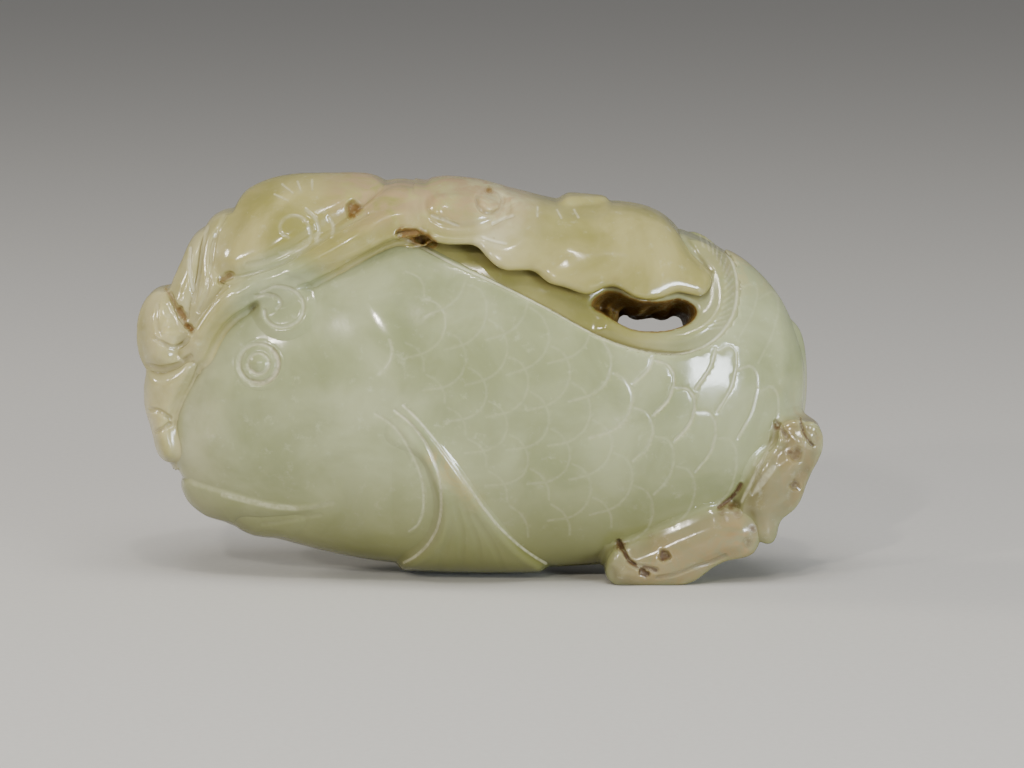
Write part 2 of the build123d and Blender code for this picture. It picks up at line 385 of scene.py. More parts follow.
# The upper lobe is a little smaller round its tip than its CAD solid
lobes_edge = edge_chart("tail_lower_lobe", "tail_upper_lobe")
trimmed_lobe = edges["tail_upper_lobe"] - 0.7 * smooth_step(CHART_Z, 14.0, 18.5)[None, :]

# Under the creases of the spray, its motifs meet on floors of stone this far below its skin
FLOOR_DEPTHS = {
    "front_leaf": 1.0,
    "main_stem": 1.15,
    "inner_leaf_blade": 1.3,
    "outer_leaf_blade": 1.37,
    "seed_pod": 1.22,
    "snout_sprig": 1.44,
    "top_bud": 0.6,
    "leaf_tip": 0.6,
}
GAP_FILLED = 1.3            # gaps in the spray up to twice this wide have a floor too
spray_mask = covered(FLOOR_DEPTHS)
filled = steps_to(~(steps_to(spray_mask) < GAP_FILLED)) > GAP_FILLED
spray_edge = outline_distance(spray_mask | filled)

# The pierced hole falls towards the right flank, and its roof is wavy and narrows half way through
HOLE = [(13.1, 33.6), (15.2, 35.2), (18.0, 34.2), (20.5, 33.9), (23.5, 34.3), (25.2, 33.1),
        (24.3, 31.5), (21.0, 30.4), (17.5, 30.6), (15.0, 32.2)]
HOLE_SLOPE = math.tan(math.radians(11.0))
HOLE_MOUTH_Y = -12.0
HOLE_NARROWING = 1.5
HOLE_ROUNDING = 0.8
hole_edge = drawn_edge(HOLE)


def outside_hole(p):
    """Distance to the pierced hole's wall, positive inside the hole."""
    height = p[:, 2] + HOLE_SLOPE * (p[:, 1] - HOLE_MOUTH_Y)
    narrowing = HOLE_NARROWING * np.exp(-((p[:, 1] - 1.0) / 6.0) ** 2)
    upper = np.clip((height - 31.4) / 1.6, 0, 1)
    wavy = 0.25 * np.sin(2.1 * p[:, 0]) + 0.15 * np.sin(3.7 * p[:, 0] + 1.3 * p[:, 1])
    return sample(hole_edge, p[:, 0], height) - narrowing * upper * (1 + wavy)


# ---------------------------------------------------------------- kinds of distance field
LEFT = -1
RIGHT = 1
SIDES = {"left": LEFT, "right": RIGHT}
ROOT_DEPTH = 5.0            # a plate goes on this far under the fish's skin
FLANK_GAP = 0.4             # and stays this far from the carving's middle, where it has a side
SKIRT_DEPTH = 4.0
FLOOR_SPREAD = 0.9
BUD_FLOOR_SPREAD = 1.2      # the bud runs into its neighbours


def domed(inside, height, spread):
    """A rise from nothing at an outline towards that height inside it."""
    return height * (1 - np.exp(-np.maximum(inside, 0) / spread))


def ridge_field(edge, lift, dome, spread, rounding):
    """A motif that lies over the ridge and shows on both flanks, domed towards its middle."""
    def field(p):
        inside = value_at(edge, p)
        bulge = lift + domed(inside, dome, spread)
        return in_both(spray_skin.distance(p) - bulge, -inside, rounding)
    return field


def rooted(d, skin, p, side):
    """A plate's field, cut off deep under the fish's skin and at the carving's middle."""
    d = np.maximum(d, -skin - ROOT_DEPTH)
    return np.maximum(d, FLANK_GAP - side * p[:, 1]) if side else d


def plate_field(edge, lift, dome, spread, rounding, side=0):
    """A motif that stands on the fish's skin, on one flank or on both."""
    def field(p):
        inside = value_at(edge, p)
        skin = fish_skin.distance(p)
        bulge = lift + domed(inside, dome, spread)
        return rooted(in_both(skin - bulge, -inside, rounding), skin, p, side)
    return field


def lobe_field(edge, middle, half, dome, spread, rounding):
    """A motif like a thick leaf, standing upright at one depth."""
    def field(p):
        inside = value_at(edge, p)
        bulge = half + domed(inside, dome, spread)
        return in_both(np.abs(p[:, 1] - middle) - bulge, -inside, rounding)
    return field


def above_table(field):
    """The field cut off flat where it meets the table."""
    return lambda p: np.maximum(field(p), -p[:, 2])


def floored(name, field):
    """A motif of the spray with its share of the floor of the creases round it."""
    edge = edges[name]
    depth = FLOOR_DEPTHS[name]
    spread = BUD_FLOOR_SPREAD if name == "top_bud" else FLOOR_SPREAD

    def field_and_floor(p):
        floor = np.maximum(-value_at(edge, p) - spread, -value_at(spray_edge, p))
        floor = in_both(floor, spray_skin.distance(p) + depth, spread / 3)
        return in_either(field(p), floor, 0.7)
    return field_and_floor


def sloped_across(field, skin, first, last, start, end):
    """A motif whose height over the skin goes from start to end between two distances across."""
    def field_and_slope(p):
        share = np.clip((p[:, 0] - first) / (last - first), 0, 1)
        return in_both(field(p), skin.distance(p) - start + (start - end) * share, 0.3)
    return field_and_slope


def sloped_upwards(field, first, last, start, end):
    """A motif whose height over the fish's skin goes from start to end between two levels."""
    def field_and_slope(p):
        share = smooth_step(p[:, 2], first, last)
        return in_both(field(p), fish_skin.distance(p) - start + (start - end) * share, 0.3)
    return field_and_slope


def skirted(field, edge, hidden, reach=1.6, radius=1.3, host=fish_skin.distance):
    """A motif that runs out smoothly into its host's skin. Its skirt is hidden that deep in the host."""
    def field_and_skirt(p):
        depth = host(p)
        skirt = np.maximum(depth + hidden, -value_at(edge, p) - reach)
        skirt = np.maximum(skirt, -depth - SKIRT_DEPTH)
        return in_either(field(p), skirt, radius)
    return field_and_skirt


# ---------------------------------------------------------------- the fish
def body_field(p):
    """The head and the trunk, tucked in under the spray, with the muzzle cut back."""
    corner = 0.35 + 1.2 * smooth_step(p[:, 2], 36.5, 40.5)
    tucked = 0.2 + 0.9 * smooth_step(-p[:, 0], 14.0, 18.0)
    d = in_both(fish_skin.distance(p), -value_at(edges[BODY], p) - tucked, corner)
    d = in_both(d, -value_at(muzzle, p) - 0.3, 1.5)
    return in_both(d, outside_hole(p), HOLE_ROUNDING)


def lip_field(edge, dome, spread, rounding):
    """A lip: a band that rises from the muzzle and runs out into it."""
    return skirted(plate_field(edge, -0.2, dome, spread, rounding), edge, 0.05, 1.0, 0.8)


whole_lip = lip_field(upper_lip_edge, 0.85, 1.1, 0.6)


def upper_lip_field(p):
    """The upper lip, cut back to the line of its front."""
    return in_both(whole_lip(p), -value_at(lip_front, p), 0.8)


def gill_field(edge, side):
    """A gill cover: a low plate that sinks into the head in front."""
    return sloped_across(plate_field(edge, -0.1, 0.3, 1.0, 0.4, side), fish_skin, -8.4, -12.4, 0.22, -0.3)


def pectoral_field(edge, side):
    """A pectoral fin: thick at its foot on the table, sunk into the flank at its top."""
    fin = sloped_upwards(plate_field(edge, 0.4, 0.8, 1.2, 0.8, side), 8.0, 20.0, 1.1, -0.2)
    return above_table(skirted(fin, edge, 0.05, 1.0, 0.8))


def dorsal_field(p):
    """The dorsal fin: a band sunk beside the flank, level with it where it crosses the ridge."""
    risen = 1.0 * smooth_step(p[:, 0], 20.0, 28.0)
    over_ridge = 1.3 * smooth_step(p[:, 2], 34.0, 40.0) * smooth_step(p[:, 0], 18.0, 22.0)
    sunk = 1.1 - np.maximum(risen, over_ridge)
    d = in_both(fish_skin.distance(p) + sunk, -value_at(edges["dorsal_fin"], p) - 0.25, 0.4)
    return in_both(d, outside_hole(p), 0.9)


# ---------------------------------------------------------------- the tail
def depths(name):
    """The nearest and farthest y of a CAD node."""
    low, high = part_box(name)
    return low[1] / MM, high[1] / MM


def stalk_field(edge):
    """The tail stalk: a low strip that comes over the end of the fish from its right flank."""
    near, far = depths("tail_stalk")

    def field(p):
        d = in_both(fish_skin.distance(p) - 0.45, -value_at(edge, p), 1.0)
        return in_both(d, np.maximum(near - p[:, 1], p[:, 1] - far), 1.2)
    return skirted(field, edge, 0.04, 1.2, 1.0)


def tail_field(name, outline):
    """A lobe of the tail, with its share of the web of stone between the two lobes."""
    near, far = depths(name)
    middle = (near + far) / 2
    half = (far - near) / 2
    lobe = lobe_field(outline, middle, half - 0.6, 0.9, 2.4, 2.2)

    def lobe_and_web(p):
        web = np.maximum(-value_at(edges[name], p) - 1.6, -value_at(lobes_edge, p))
        web = in_both(web, np.abs(p[:, 1] - middle) - half + 1.2, 0.5)
        return in_either(lobe(p), web, 0.9)
    return skirted(lobe_and_web, edges[name], 0.0, 1.3, 1.2)


# ---------------------------------------------------------------- the spray
# How high each motif stands over the spray's skin at its rim, how much higher in its middle,
# how far in from the rim it rises, and how round its rim is
SPRAY_SHAPES = {
    "front_leaf": (-0.4, 0.9, 3.0, 2.4),
    "inner_leaf_blade": (-1.1, 0.7, 1.0, 1.2),
    "outer_leaf_blade": (-1.0, 0.7, 1.0, 1.2),
    "seed_pod": (-0.4, 1.0, 2.0, 2.6),
    "snout_sprig": (-0.4, 0.6, 1.2, 1.3),
    "top_bud": (0.0, 1.1, 2.2, 2.0),
    "leaf_tip": (0.3, 0.4, 0.9, 0.7),
}
TIP_START = 10.5            # where the leaf's tip begins to sink and to taper
TIP_HALF_WIDTH = 3.6
TIP_TAPER = 0.4


def spray_field(name):
    """One motif of the spray and the floor round it."""
    return floored(name, ridge_field(edges[name], *SPRAY_SHAPES[name]))


def back_leaf_field(p):
    """The back leaf: its narrow root is as high as its blade."""
    inside = value_at(edges["back_leaf"], p)
    rounding = 0.7 + 0.4 * smooth_step(p[:, 0], 0.0, 7.0)
    bulge = -0.1 + domed(inside, 0.9, 2.0)
    d = in_both(spray_skin.distance(p) - bulge, -inside, rounding)
    return in_both(d, outside_hole(p), HOLE_ROUNDING)


def stem_field(p):
    """The stem: round at the front, flatter and higher where it reaches the bud."""
    inside = value_at(edges["main_stem"], p)
    back = smooth_step(p[:, 0], -21.0, -12.0)
    bulge = -1.1 + 1.2 * back + domed(inside, 1.3 - 0.5 * back, 1.7)
    d = in_both(spray_skin.distance(p) - bulge, -inside, 1.5 - 0.7 * back)
    foot = in_both(fish_skin.distance(p) - 0.3, -inside, 0.7)
    return in_either(d, foot, 1.5)


whole_stem = skirted(floored("main_stem", stem_field), edges["main_stem"], 0.06)


def inside_scroll(p):
    """Distance inside the scroll's round outline."""
    return inside_circle(p[:, 0], p[:, 2], SCROLL_CENTRE, SCROLL_RADIUS)


def cut_stem_field(p):
    """The stem, cut away round its scroll on the left flank."""
    return in_both(whole_stem(p), np.where(p[:, 1] < 0, inside_scroll(p), -2.0), 1.7)


def scroll_plate(p):
    """The stem's scroll: a round plate on the left flank, tilted to meet the stem above it."""
    towards_stem = 0.89 * (p[:, 2] - SCROLL_CENTRE[1]) - 0.45 * (p[:, 0] - SCROLL_CENTRE[0])
    bulge = 0.15 + 0.75 * np.clip(towards_stem, -0.2, 3.0)
    skin = fish_skin.distance(p)
    return rooted(in_both(skin - bulge, -inside_scroll(p), 0.5), skin, p, LEFT)


def under_scroll(p):
    """What the scroll runs out into."""
    return np.minimum(cut_stem_field(p), fish_skin.distance(p))


def under_bud(p):
    """What the bud runs out into."""
    return np.minimum(back_leaf_field(p), whole_stem(p))


whole_tip = ridge_field(edges["leaf_tip"], *SPRAY_SHAPES["leaf_tip"])
sinking_tip = sloped_across(whole_tip, spray_skin, TIP_START, 15.0, 0.6, 0.0)


def tapered_tip(p):
    """The leaf's tip, thinner from flank to flank towards its end."""
    return in_both(sinking_tip(p), np.abs(p[:, 1]) - TIP_HALF_WIDTH + TIP_TAPER * (p[:, 0] - TIP_START), 1.2)


# ---------------------------------------------------------------- the field of each piece
fields = {
    BODY: body_field,
    "upper_lip": upper_lip_field,
    "lower_lip": lip_field(lower_lip_edge, 0.6, 1.0, 0.4),
}
for side_name, side in SIDES.items():
    fields[side_name + "_eye"] = plate_field(eye_edge, -0.03, 0.28, 2.5, 0.3, side)
for motif, make in (("_gill_cover", gill_field), ("_pectoral_fin", pectoral_field)):
    for side_name, side in SIDES.items():
        fields[side_name + motif] = make(edges[side_name + motif], side)
fields["stem_scroll"] = skirted(scroll_plate, scroll_edge, 0.03, 1.6, 1.4, host=under_scroll)
fields["dorsal_fin"] = dorsal_field
fields["tail_stalk"] = stalk_field(edges["tail_stalk"])
fields["tail_lower_lobe"] = above_table(tail_field("tail_lower_lobe", edges["tail_lower_lobe"]))
fields["tail_upper_lobe"] = tail_field("tail_upper_lobe", trimmed_lobe)
fields["front_leaf"] = spray_field("front_leaf")
fields["back_leaf"] = back_leaf_field
fields["main_stem"] = cut_stem_field
fields["inner_leaf_blade"] = spray_field("inner_leaf_blade")
fields["outer_leaf_blade"] = spray_field("outer_leaf_blade")
fields["seed_pod"] = skirted(spray_field("seed_pod"), edges["seed_pod"], 0.1)
fields["snout_sprig"] = skirted(spray_field("snout_sprig"), edges["snout_sprig"], 0.14)
fields["top_bud"] = skirted(spray_field("top_bud"), edges["top_bud"], 0.08, 1.3, 1.2, host=under_bud)
fields["leaf_tip"] = skirted(floored("leaf_tip", tapered_tip), edges["leaf_tip"], 0.03, 1.2, 1.0,
                             host=back_leaf_field)


# ---------------------------------------------------------------- the carver's lines
# They are drawn on an upright plane as the eye in front sees it, in millimetres: across and up.
def drawn_at(p, side):
    """Where points appear on the drawing plane, seen by the eye in front of the left or right flank."""
    r = p - AIM
    mirror = np.array([1.0, -side, 1.0])
    r = r * mirror
    depth = EYE_DISTANCE + r @ EYE_AXIS
    across = AIM[0] + r[:, 0] * EYE_DISTANCE / depth
    up = DRAWN_HEIGHT_OF_AIM + (r @ EYE_UP) * EYE_DISTANCE / depth
    return across, up


class Drawing:
    """Charts of everything that is cut into or left standing on one flank."""

    def __init__(self):
        self.raised = np.zeros(CHART_CELLS)
        self.cut = np.zeros(CHART_CELLS)
        self.matte = np.zeros(CHART_CELLS)
        self.dirt = np.zeros(CHART_CELLS)
        self.fine = np.zeros(CHART_CELLS)

    def copy(self):
        other = Drawing()
        for name, chart in vars(self).items():
            setattr(other, name, chart.copy())
        return other

    def near(self, path, reach):
        """The window of cells within reach of a path, and their distance to it."""
        low = path.min(axis=0) - reach
        high = path.max(axis=0) + reach
        i = [int(np.clip((v - CHART_LOW[0]) / CELL, 0, CHART_CELLS[0])) for v in (low[0], high[0])]
        j = [int(np.clip((v - CHART_LOW[1]) / CELL, 0, CHART_CELLS[1])) for v in (low[1], high[1])]
        window = (slice(i[0], i[1] + 1), slice(j[0], j[1] + 1))
        x = CHART_X[window[0]][:, None]
        z = CHART_Z[window[1]][None, :]
        best = np.full((x.shape[0], z.shape[1]), 1e9)
        for (xa, za), (xb, zb) in zip(path[:-1], path[1:]):
            run = (xb - xa) ** 2 + (zb - za) ** 2 + 1e-9
            t = np.clip(((x - xa) * (xb - xa) + (z - za) * (zb - za)) / run, 0, 1)
            best = np.minimum(best, (x - xa - t * (xb - xa)) ** 2 + (z - za - t * (zb - za)) ** 2)
        return window, np.sqrt(best)

    def groove(self, points, width, depth, matte, dirt=0.0, closed=False):
        """A round-bottomed line."""
        path = closed_path(points) if closed else open_path(points)
        if closed:
            path = np.vstack([path, path[:1]])
        window, d = self.near(path, width + 0.5)
        shape = np.clip(1 - (2 * d / width) ** 2, 0, 1)
        self.cut[window] = np.maximum(self.cut[window], depth * shape)
        self.matte[window] = np.maximum(self.matte[window], matte * np.clip(1.25 * shape, 0, 1))
        self.dirt[window] = np.maximum(self.dirt[window], dirt * shape)
        self.fine[window] = np.maximum(self.fine[window], d < width / 2 + 0.25)

    def ridge(self, points, width, height):
        """A soft crest, or a soft valley where the height is negative."""
        window, d = self.near(open_path(points), width)
        self.raised[window] += height * np.exp(-(2 * d / width) ** 2)

    def pit(self, x, z, radius, depth, dirt, stretch=(0.0, 0.0)):
        """A drilled bowl, drawn out along stretch."""
        path = np.array([[x - stretch[0], z - stretch[1]], [x + stretch[0], z + stretch[1]]])
        window, d = self.near(path, radius * 1.9)
        turn = np.arctan2(CHART_Z[window[1]][None, :] - z, CHART_X[window[0]][:, None] - x)
        ragged = 1 + 0.1 * np.sin(3 * turn + 5 * x) + 0.05 * np.sin(5 * turn + 7 * z)
        bowl = np.clip(1.1 - (d / (radius * ragged)) ** 2, 0, 1)
        self.cut[window] = np.maximum(self.cut[window], depth * bowl)
        self.dirt[window] = np.maximum(self.dirt[window], dirt * bowl)
        self.fine[window] = np.maximum(self.fine[window], d < radius + 0.3)

    def stain(self, x, z, radius, strength):
        """A soft patch of earth left in the stone."""
        window, d = self.near(np.array([[x, z], [x + 0.01, z]]), radius * 2)
        self.dirt[window] = np.maximum(self.dirt[window], strength * np.exp(-(d / radius) ** 2))

    def height(self):
        """How far the stone stands out, less what is cut away."""
        return self.raised - self.cut


def ring(x, z, radius):
    """Points round a circle."""
    turns = np.linspace(0, 2 * math.pi, 17)[:-1]
    return [(x + radius * math.cos(a), z + radius * math.sin(a)) for a in turns]


def rows_between(rows, level):
    """A guide line at a fractional level among the rows, as a function of the distance across."""
    lines = [smooth_curve(*np.array(row).T) for row in rows]
    low = min(int(level), len(lines) - 2)
    share = level - low
    return lambda x: lines[low](x) * (1 - share) + lines[low + 1](x) * share


SCALE_ROWS = [
    [(-12.0, 3.0), (0.0, 3.2), (12.0, 3.6), (24.0, 7.0), (33.0, 13.0), (37.5, 21.0)],
    [(-12.0, 6.6), (0.0, 7.2), (12.0, 7.8), (24.0, 12.0), (31.5, 18.0), (36.4, 25.0)],
    [(-12.0, 10.6), (0.0, 11.4), (12.0, 12.4), (22.0, 16.0), (29.5, 21.4), (34.6, 28.0)],
    [(-12.0, 14.6), (0.0, 15.4), (12.0, 16.8), (20.0, 19.4), (27.0, 24.0), (32.4, 31.0)],
    [(-12.0, 18.4), (0.0, 19.4), (10.0, 21.2), (19.0, 23.6), (25.0, 26.8), (30.6, 33.0)],
    [(-12.0, 22.0), (0.0, 23.6), (8.0, 25.8), (16.0, 27.6), (24.0, 30.0), (30.0, 36.0)],
    [(-12.0, 25.8), (-4.0, 27.4), (4.0, 29.4), (12.0, 31.4), (20.0, 34.0), (30.0, 40.0)],
    [(-12.0, 29.6), (-4.0, 32.2), (2.0, 34.4), (10.0, 37.0), (20.0, 40.0), (30.0, 44.0)],
    [(-12.0, 33.6), (-4.0, 36.6), (2.0, 39.0), (10.0, 42.0), (20.0, 45.0), (30.0, 49.0)],
]
SCALE_LENGTH = 4.9
SCALE_SPAN = (-9.0, 36.5)
SCALE_MIDDLE = (25.5, 23.5)     # where the scales are cut deepest
DORSAL_EDGE = [(-9.3, 40.9), (-3.4, 37.7), (2.5, 35.0), (8.3, 32.1), (14.2, 28.9), (18.9, 27.4),
               (23.6, 27.0), (27.2, 28.3), (29.5, 30.9), (30.3, 33.9), (29.9, 37.4), (27.8, 40.3),
               (24.8, 42.0)]


def scales(drawing, allowed):
    """Overlapping scales with their round edges towards the tail, each row half a scale along.

    They are cut deepest under the pierced hole. Away from it they grow faint, and towards the head their
    lower edges join in long lines.
    """
    for row in range(len(SCALE_ROWS) - 1):
        start = SCALE_SPAN[0] + (row % 2) * SCALE_LENGTH / 2
        for nose in np.arange(start, SCALE_SPAN[1], SCALE_LENGTH):
            height = float(rows_between(SCALE_ROWS, row + 0.7)(nose))
            from_middle = ((nose - SCALE_MIDDLE[0]) / 8.0) ** 2 + ((height - SCALE_MIDDLE[1]) / 6.0) ** 2
            strength = 0.13 + 0.87 * math.exp(-from_middle)
            upper = [(-0.42, 1.42), (-0.16, 1.20), (0.0, 0.86), (0.02, 0.55)]
            lower = [(0.02, 0.55), (-0.12, 0.24), (-0.46, 0.04)]
            if nose < 20.0:
                lower.append((-1.0, 0.0))
            for turn, share in ((upper, 1.0), (lower, 1.3)):
                arc = []
                for along, up in turn:
                    x = nose + along * SCALE_LENGTH
                    arc.append((x, float(rows_between(SCALE_ROWS, row + up)(x))))
                if all(allowed(x, z) for x, z in arc):
                    strong = min(strength * share, 1.0)
                    drawing.groove(arc, width=0.34 + 0.14 * strong, depth=0.17 * strong ** 1.5,
                                   matte=0.07 + 0.5 * strong)


def on_flank(x, z):
    """Whether a spot is on the scaled part of the flank: under the dorsal fin and behind the gill."""
    under_fin = z < np.interp(x, *np.array(DORSAL_EDGE[:9]).T) + 0.2 if x < 29.5 else z < 36.0
    behind_gill = x > -10.2
    behind_pectoral = x > 7.6 - 0.86 * max(z - 2.0, 0) + 0.6 or z > 20.0
    inside_belly = z > 3.6 and x < 37.0
    return under_fin and behind_gill and behind_pectoral and inside_belly


both = Drawing()
scales(both, on_flank)

# eye, gill and mouth
DRAWN_EYE = (-25.9, 25.8)
EYE_RIM = ring(*DRAWN_EYE, 2.3)
PUPIL = ring(*DRAWN_EYE, 1.2)
both.groove(EYE_RIM, width=0.6, depth=0.22, matte=0.35, closed=True)
# the arcs along the lower right of the rim and of the pupil's ring are cut deeper and whiter; their
# whitening is a painted highlight on the rings' walls
both.groove(EYE_RIM[-5:] + EYE_RIM[:3], width=0.7, depth=0.4, matte=0.95)
both.groove(PUPIL, width=0.5, depth=0.2, matte=0.35, closed=True)
both.groove(PUPIL[-6:] + PUPIL[:1], width=0.5, depth=0.26, matte=0.8)
both.ridge([DRAWN_EYE, (DRAWN_EYE[0] + 0.05, DRAWN_EYE[1])], 2.0, 0.45)
both.ridge([(-13.3, 33.5), (-12.0, 31.2), (-10.7, 28.9)], 3.6, 0.2)
both.groove([(-10.5, 28.6), (-10.2, 27.4), (-10.6, 25.9), (-11.7, 24.6)], 0.5, 0.05, 0.3)
both.groove([(-12.2, 19.9), (-10.6, 18.9), (-9.2, 17.5), (-7.9, 15.2), (-6.9, 12.9), (-6.5, 10.6),
             (-6.6, 8.4), (-7.2, 6.9), (-8.2, 6.1)], 0.4, 0.06, 0.3)
both.groove([(-9.9, 20.3), (-7.6, 18.3), (-5.7, 15.5), (-4.7, 12.6), (-4.4, 9.6), (-4.7, 7.0),
             (-5.8, 4.8), (-7.4, 3.2), (-8.8, 2.4)], 0.4, 0.1, 0.6)
both.groove([(-8.9, 20.9), (-7.0, 19.0), (-5.0, 16.6), (-3.1, 13.9), (-1.2, 11.3), (0.6, 8.8),
             (2.4, 6.6), (4.4, 4.7), (6.4, 3.2), (7.9, 2.3)], 0.4, 0.1, 0.6)
# the upper lip's crease is whitened along its length and more over its middle: a painted highlight along the
# lip's crest
both.groove([(-33.4, 11.7), (-31.0, 11.0), (-28.4, 10.2), (-26.0, 9.5), (-24.0, 9.0), (-21.5, 8.8),
             (-19.0, 9.0), (-17.2, 9.4)], 0.7, 0.05, 0.1)
both.groove([(-30.0, 10.4), (-28.4, 10.0), (-26.0, 9.4), (-24.0, 9.0), (-21.5, 8.8)], 0.8, 0.06, 0.35)
both.groove([(-25.4, 6.9), (-23.4, 7.1), (-20.8, 7.6), (-18.6, 8.0)], 0.6, 0.06, 0.05)

# pectoral fin: two ridges from one apex, with rays between them
both.ridge([(-8.8, 18.0), (-6.6, 15.4), (-4.8, 12.6), (-3.8, 10.0), (-3.8, 7.4), (-4.6, 5.0),
            (-6.2, 3.2), (-7.9, 2.2)], 1.2, 0.25)
both.ridge([(-7.6, 19.0), (-5.4, 16.4), (-3.4, 13.8), (-1.5, 11.0), (0.2, 8.6), (1.8, 6.6),
            (3.4, 4.7), (5.2, 3.1), (6.8, 2.0)], 1.3, 0.25)
FIN_RAYS = [
    [(-3.7, 10.6), (-3.5, 6.2), (-4.6, 1.4)],
    [(-2.9, 9.8), (-2.0, 5.6), (-2.2, 1.4)],
    [(-1.9, 9.0), (-0.3, 5.0), (0.2, 1.4)],
    [(-0.6, 7.8), (1.6, 4.4), (2.8, 1.5)],
]
for ray in FIN_RAYS:
    both.groove(ray, width=0.9, depth=0.07, matte=0.0)

# dorsal fin: its border and its rays, and the round welt where it turns up
both.groove(DORSAL_EDGE, width=0.4, depth=0.14, matte=0.6)
both.ridge([(15.0, 29.9), (19.0, 28.7), (23.5, 28.7), (26.8, 30.1), (28.5, 32.4), (28.6, 35.2),
            (27.6, 37.6), (25.8, 40.0)], 2.2, 0.7)
dorsal = open_path(DORSAL_EDGE)
dorsal_run = np.cumsum(np.r_[0, np.linalg.norm(np.diff(dorsal, axis=0), axis=1)])


def on_dorsal_edge(run):
    return np.array([np.interp(run, dorsal_run, dorsal[:, a]) for a in (0, 1)])


DORSAL_RAYS = (15.0, 1.0)       # they start and end this far from the border's rear end
RAY_SPACING = 0.9
for run in np.arange(dorsal_run[-1] - DORSAL_RAYS[0], dorsal_run[-1] - DORSAL_RAYS[1], RAY_SPACING):
    foot = on_dorsal_edge(run)
    along = (on_dorsal_edge(run + 0.5) - foot) / 0.5
    inward = np.array([-along[1], along[0]])
    tip = foot + 1.5 * inward - 1.0 * along
    both.groove([foot + 0.4 * inward, tip], width=0.3, depth=0.06, matte=0.3)

# front leaf: a spiral at its heart and notches round its rim
both.groove([(-22.4, 40.6), (-23.3, 41.3), (-23.1, 42.6), (-21.9, 43.2), (-20.5, 42.7), (-19.8, 41.3),
             (-20.1, 39.9), (-21.4, 39.0), (-23.4, 38.8)], 0.5, 0.06, 0.25)
both.groove([(-20.3, 43.9), (-19.3, 42.9), (-18.8, 41.5), (-19.0, 40.3)], 0.6, 0.12, 0.35)
both.groove([(-17.6, 43.0), (-17.1, 41.9), (-17.3, 40.7)], 0.5, 0.12, 0.4)
both.groove([(-27.2, 37.4), (-24.6, 38.0), (-21.6, 39.4), (-18.8, 41.2)], 0.8, 0.14, 0.15)
LEAF_NOTCHES = [
    [(-23.1, 46.9), (-21.9, 45.9)],
    [(-21.3, 47.2), (-20.9, 46.1)],
    [(-19.6, 47.4), (-19.6, 46.3)],
    [(-24.0, 45.7), (-22.5, 45.0)],
    [(6.9, 44.2), (6.9, 43.1)],
    [(9.2, 43.9), (9.7, 42.9)],
    [(11.2, 43.9), (11.7, 43.0)],
]
for notch in LEAF_NOTCHES:
    both.groove(notch, width=0.34, depth=0.1, matte=0.5)

# stem: its crest, a short second one, a valley under them and the line of the leaf above
both.ridge([(-33.2, 28.4), (-31.4, 31.2), (-29.2, 33.7), (-26.0, 35.4), (-22.5, 36.6), (-19.0, 38.2),
            (-16.0, 39.9), (-13.5, 41.4), (-11.0, 42.8), (-8.5, 43.4)], 1.8, 0.45)
both.ridge([(-32.7, 29.4), (-31.2, 31.8), (-29.0, 34.2)], 1.1, 0.3)
both.ridge([(-33.2, 25.4), (-31.0, 27.6), (-29.2, 30.6), (-27.2, 33.0), (-24.5, 34.2)], 2.6, -0.1)
both.groove([(-28.6, 35.9), (-26.4, 36.4), (-23.6, 37.3), (-20.4, 39.1), (-16.4, 41.6), (-13.2, 43.4)],
            0.7, 0.2, 0.1)

# blades
both.groove([(-29.9, 43.2), (-31.0, 40.6), (-31.5, 37.4), (-32.0, 34.4), (-32.9, 32.0)], 0.7, 0.22, 0.1)
both.groove([(-31.9, 41.9), (-32.5, 39.5), (-32.9, 36.5), (-33.5, 33.0)], 0.6, 0.2, 0.25)
both.groove([(-33.9, 39.4), (-34.0, 37.0), (-33.6, 34.4)], 0.5, 0.2, 0.6)

# seed pod and snout sprig
both.groove([(-36.8, 34.6), (-35.9, 33.2), (-35.2, 31.6), (-34.4, 30.4)], 0.8, 0.3, 0.0, 0.5)
both.groove([(-38.0, 28.8), (-36.8, 28.0), (-35.4, 27.8), (-34.0, 28.6)], 0.7, 0.25, 0.2, 0.2)
both.groove([(-37.8, 32.6), (-37.9, 30.6), (-37.5, 29.2)], 0.7, 0.16, 0.1)
for bead in ((-36.5, 30.7), (-36.6, 29.4), (-36.0, 28.2), (-35.3, 33.2), (-37.6, 28.9)):
    both.ridge([bead, (bead[0] + 0.02, bead[1])], 1.1, 0.22)
both.pit(-34.9, 31.6, 0.6, 0.5, 0.6, (0.3, -0.5))
both.pit(-34.0, 30.0, 0.45, 0.4, 0.7, (0.3, -0.3))
both.groove([(-39.0, 25.6), (-37.4, 25.2), (-35.6, 25.6), (-34.0, 26.6)], 0.8, 0.25, 0.1, 0.3)
both.groove([(-38.9, 20.5), (-37.6, 20.2), (-36.3, 19.4)], 0.7, 0.3, 0.1, 0.2)
both.groove([(-38.0, 17.8), (-37.1, 18.2), (-36.3, 18.7)], 0.7, 0.3, 0.1, 0.3)

# top bud: a curled knob, with folds at its foot
both.groove(ring(1.3, 45.0, 1.5), width=0.7, depth=0.35, matte=0.1, dirt=0.15, closed=True)
both.ridge([(0.9, 44.9), (1.7, 45.1)], 2.0, 0.35)
both.stain(1.2, 46.2, 0.6, 0.6)
both.groove([(-5.4, 43.2), (-4.0, 42.7), (-2.6, 42.1)], 0.5, 0.16, 0.6)
both.groove([(1.6, 42.2), (2.8, 42.8), (4.0, 43.2)], 0.5, 0.16, 0.5)
both.ridge([(-4.5, 44.6), (-3.0, 44.9)], 3.0, 0.4)

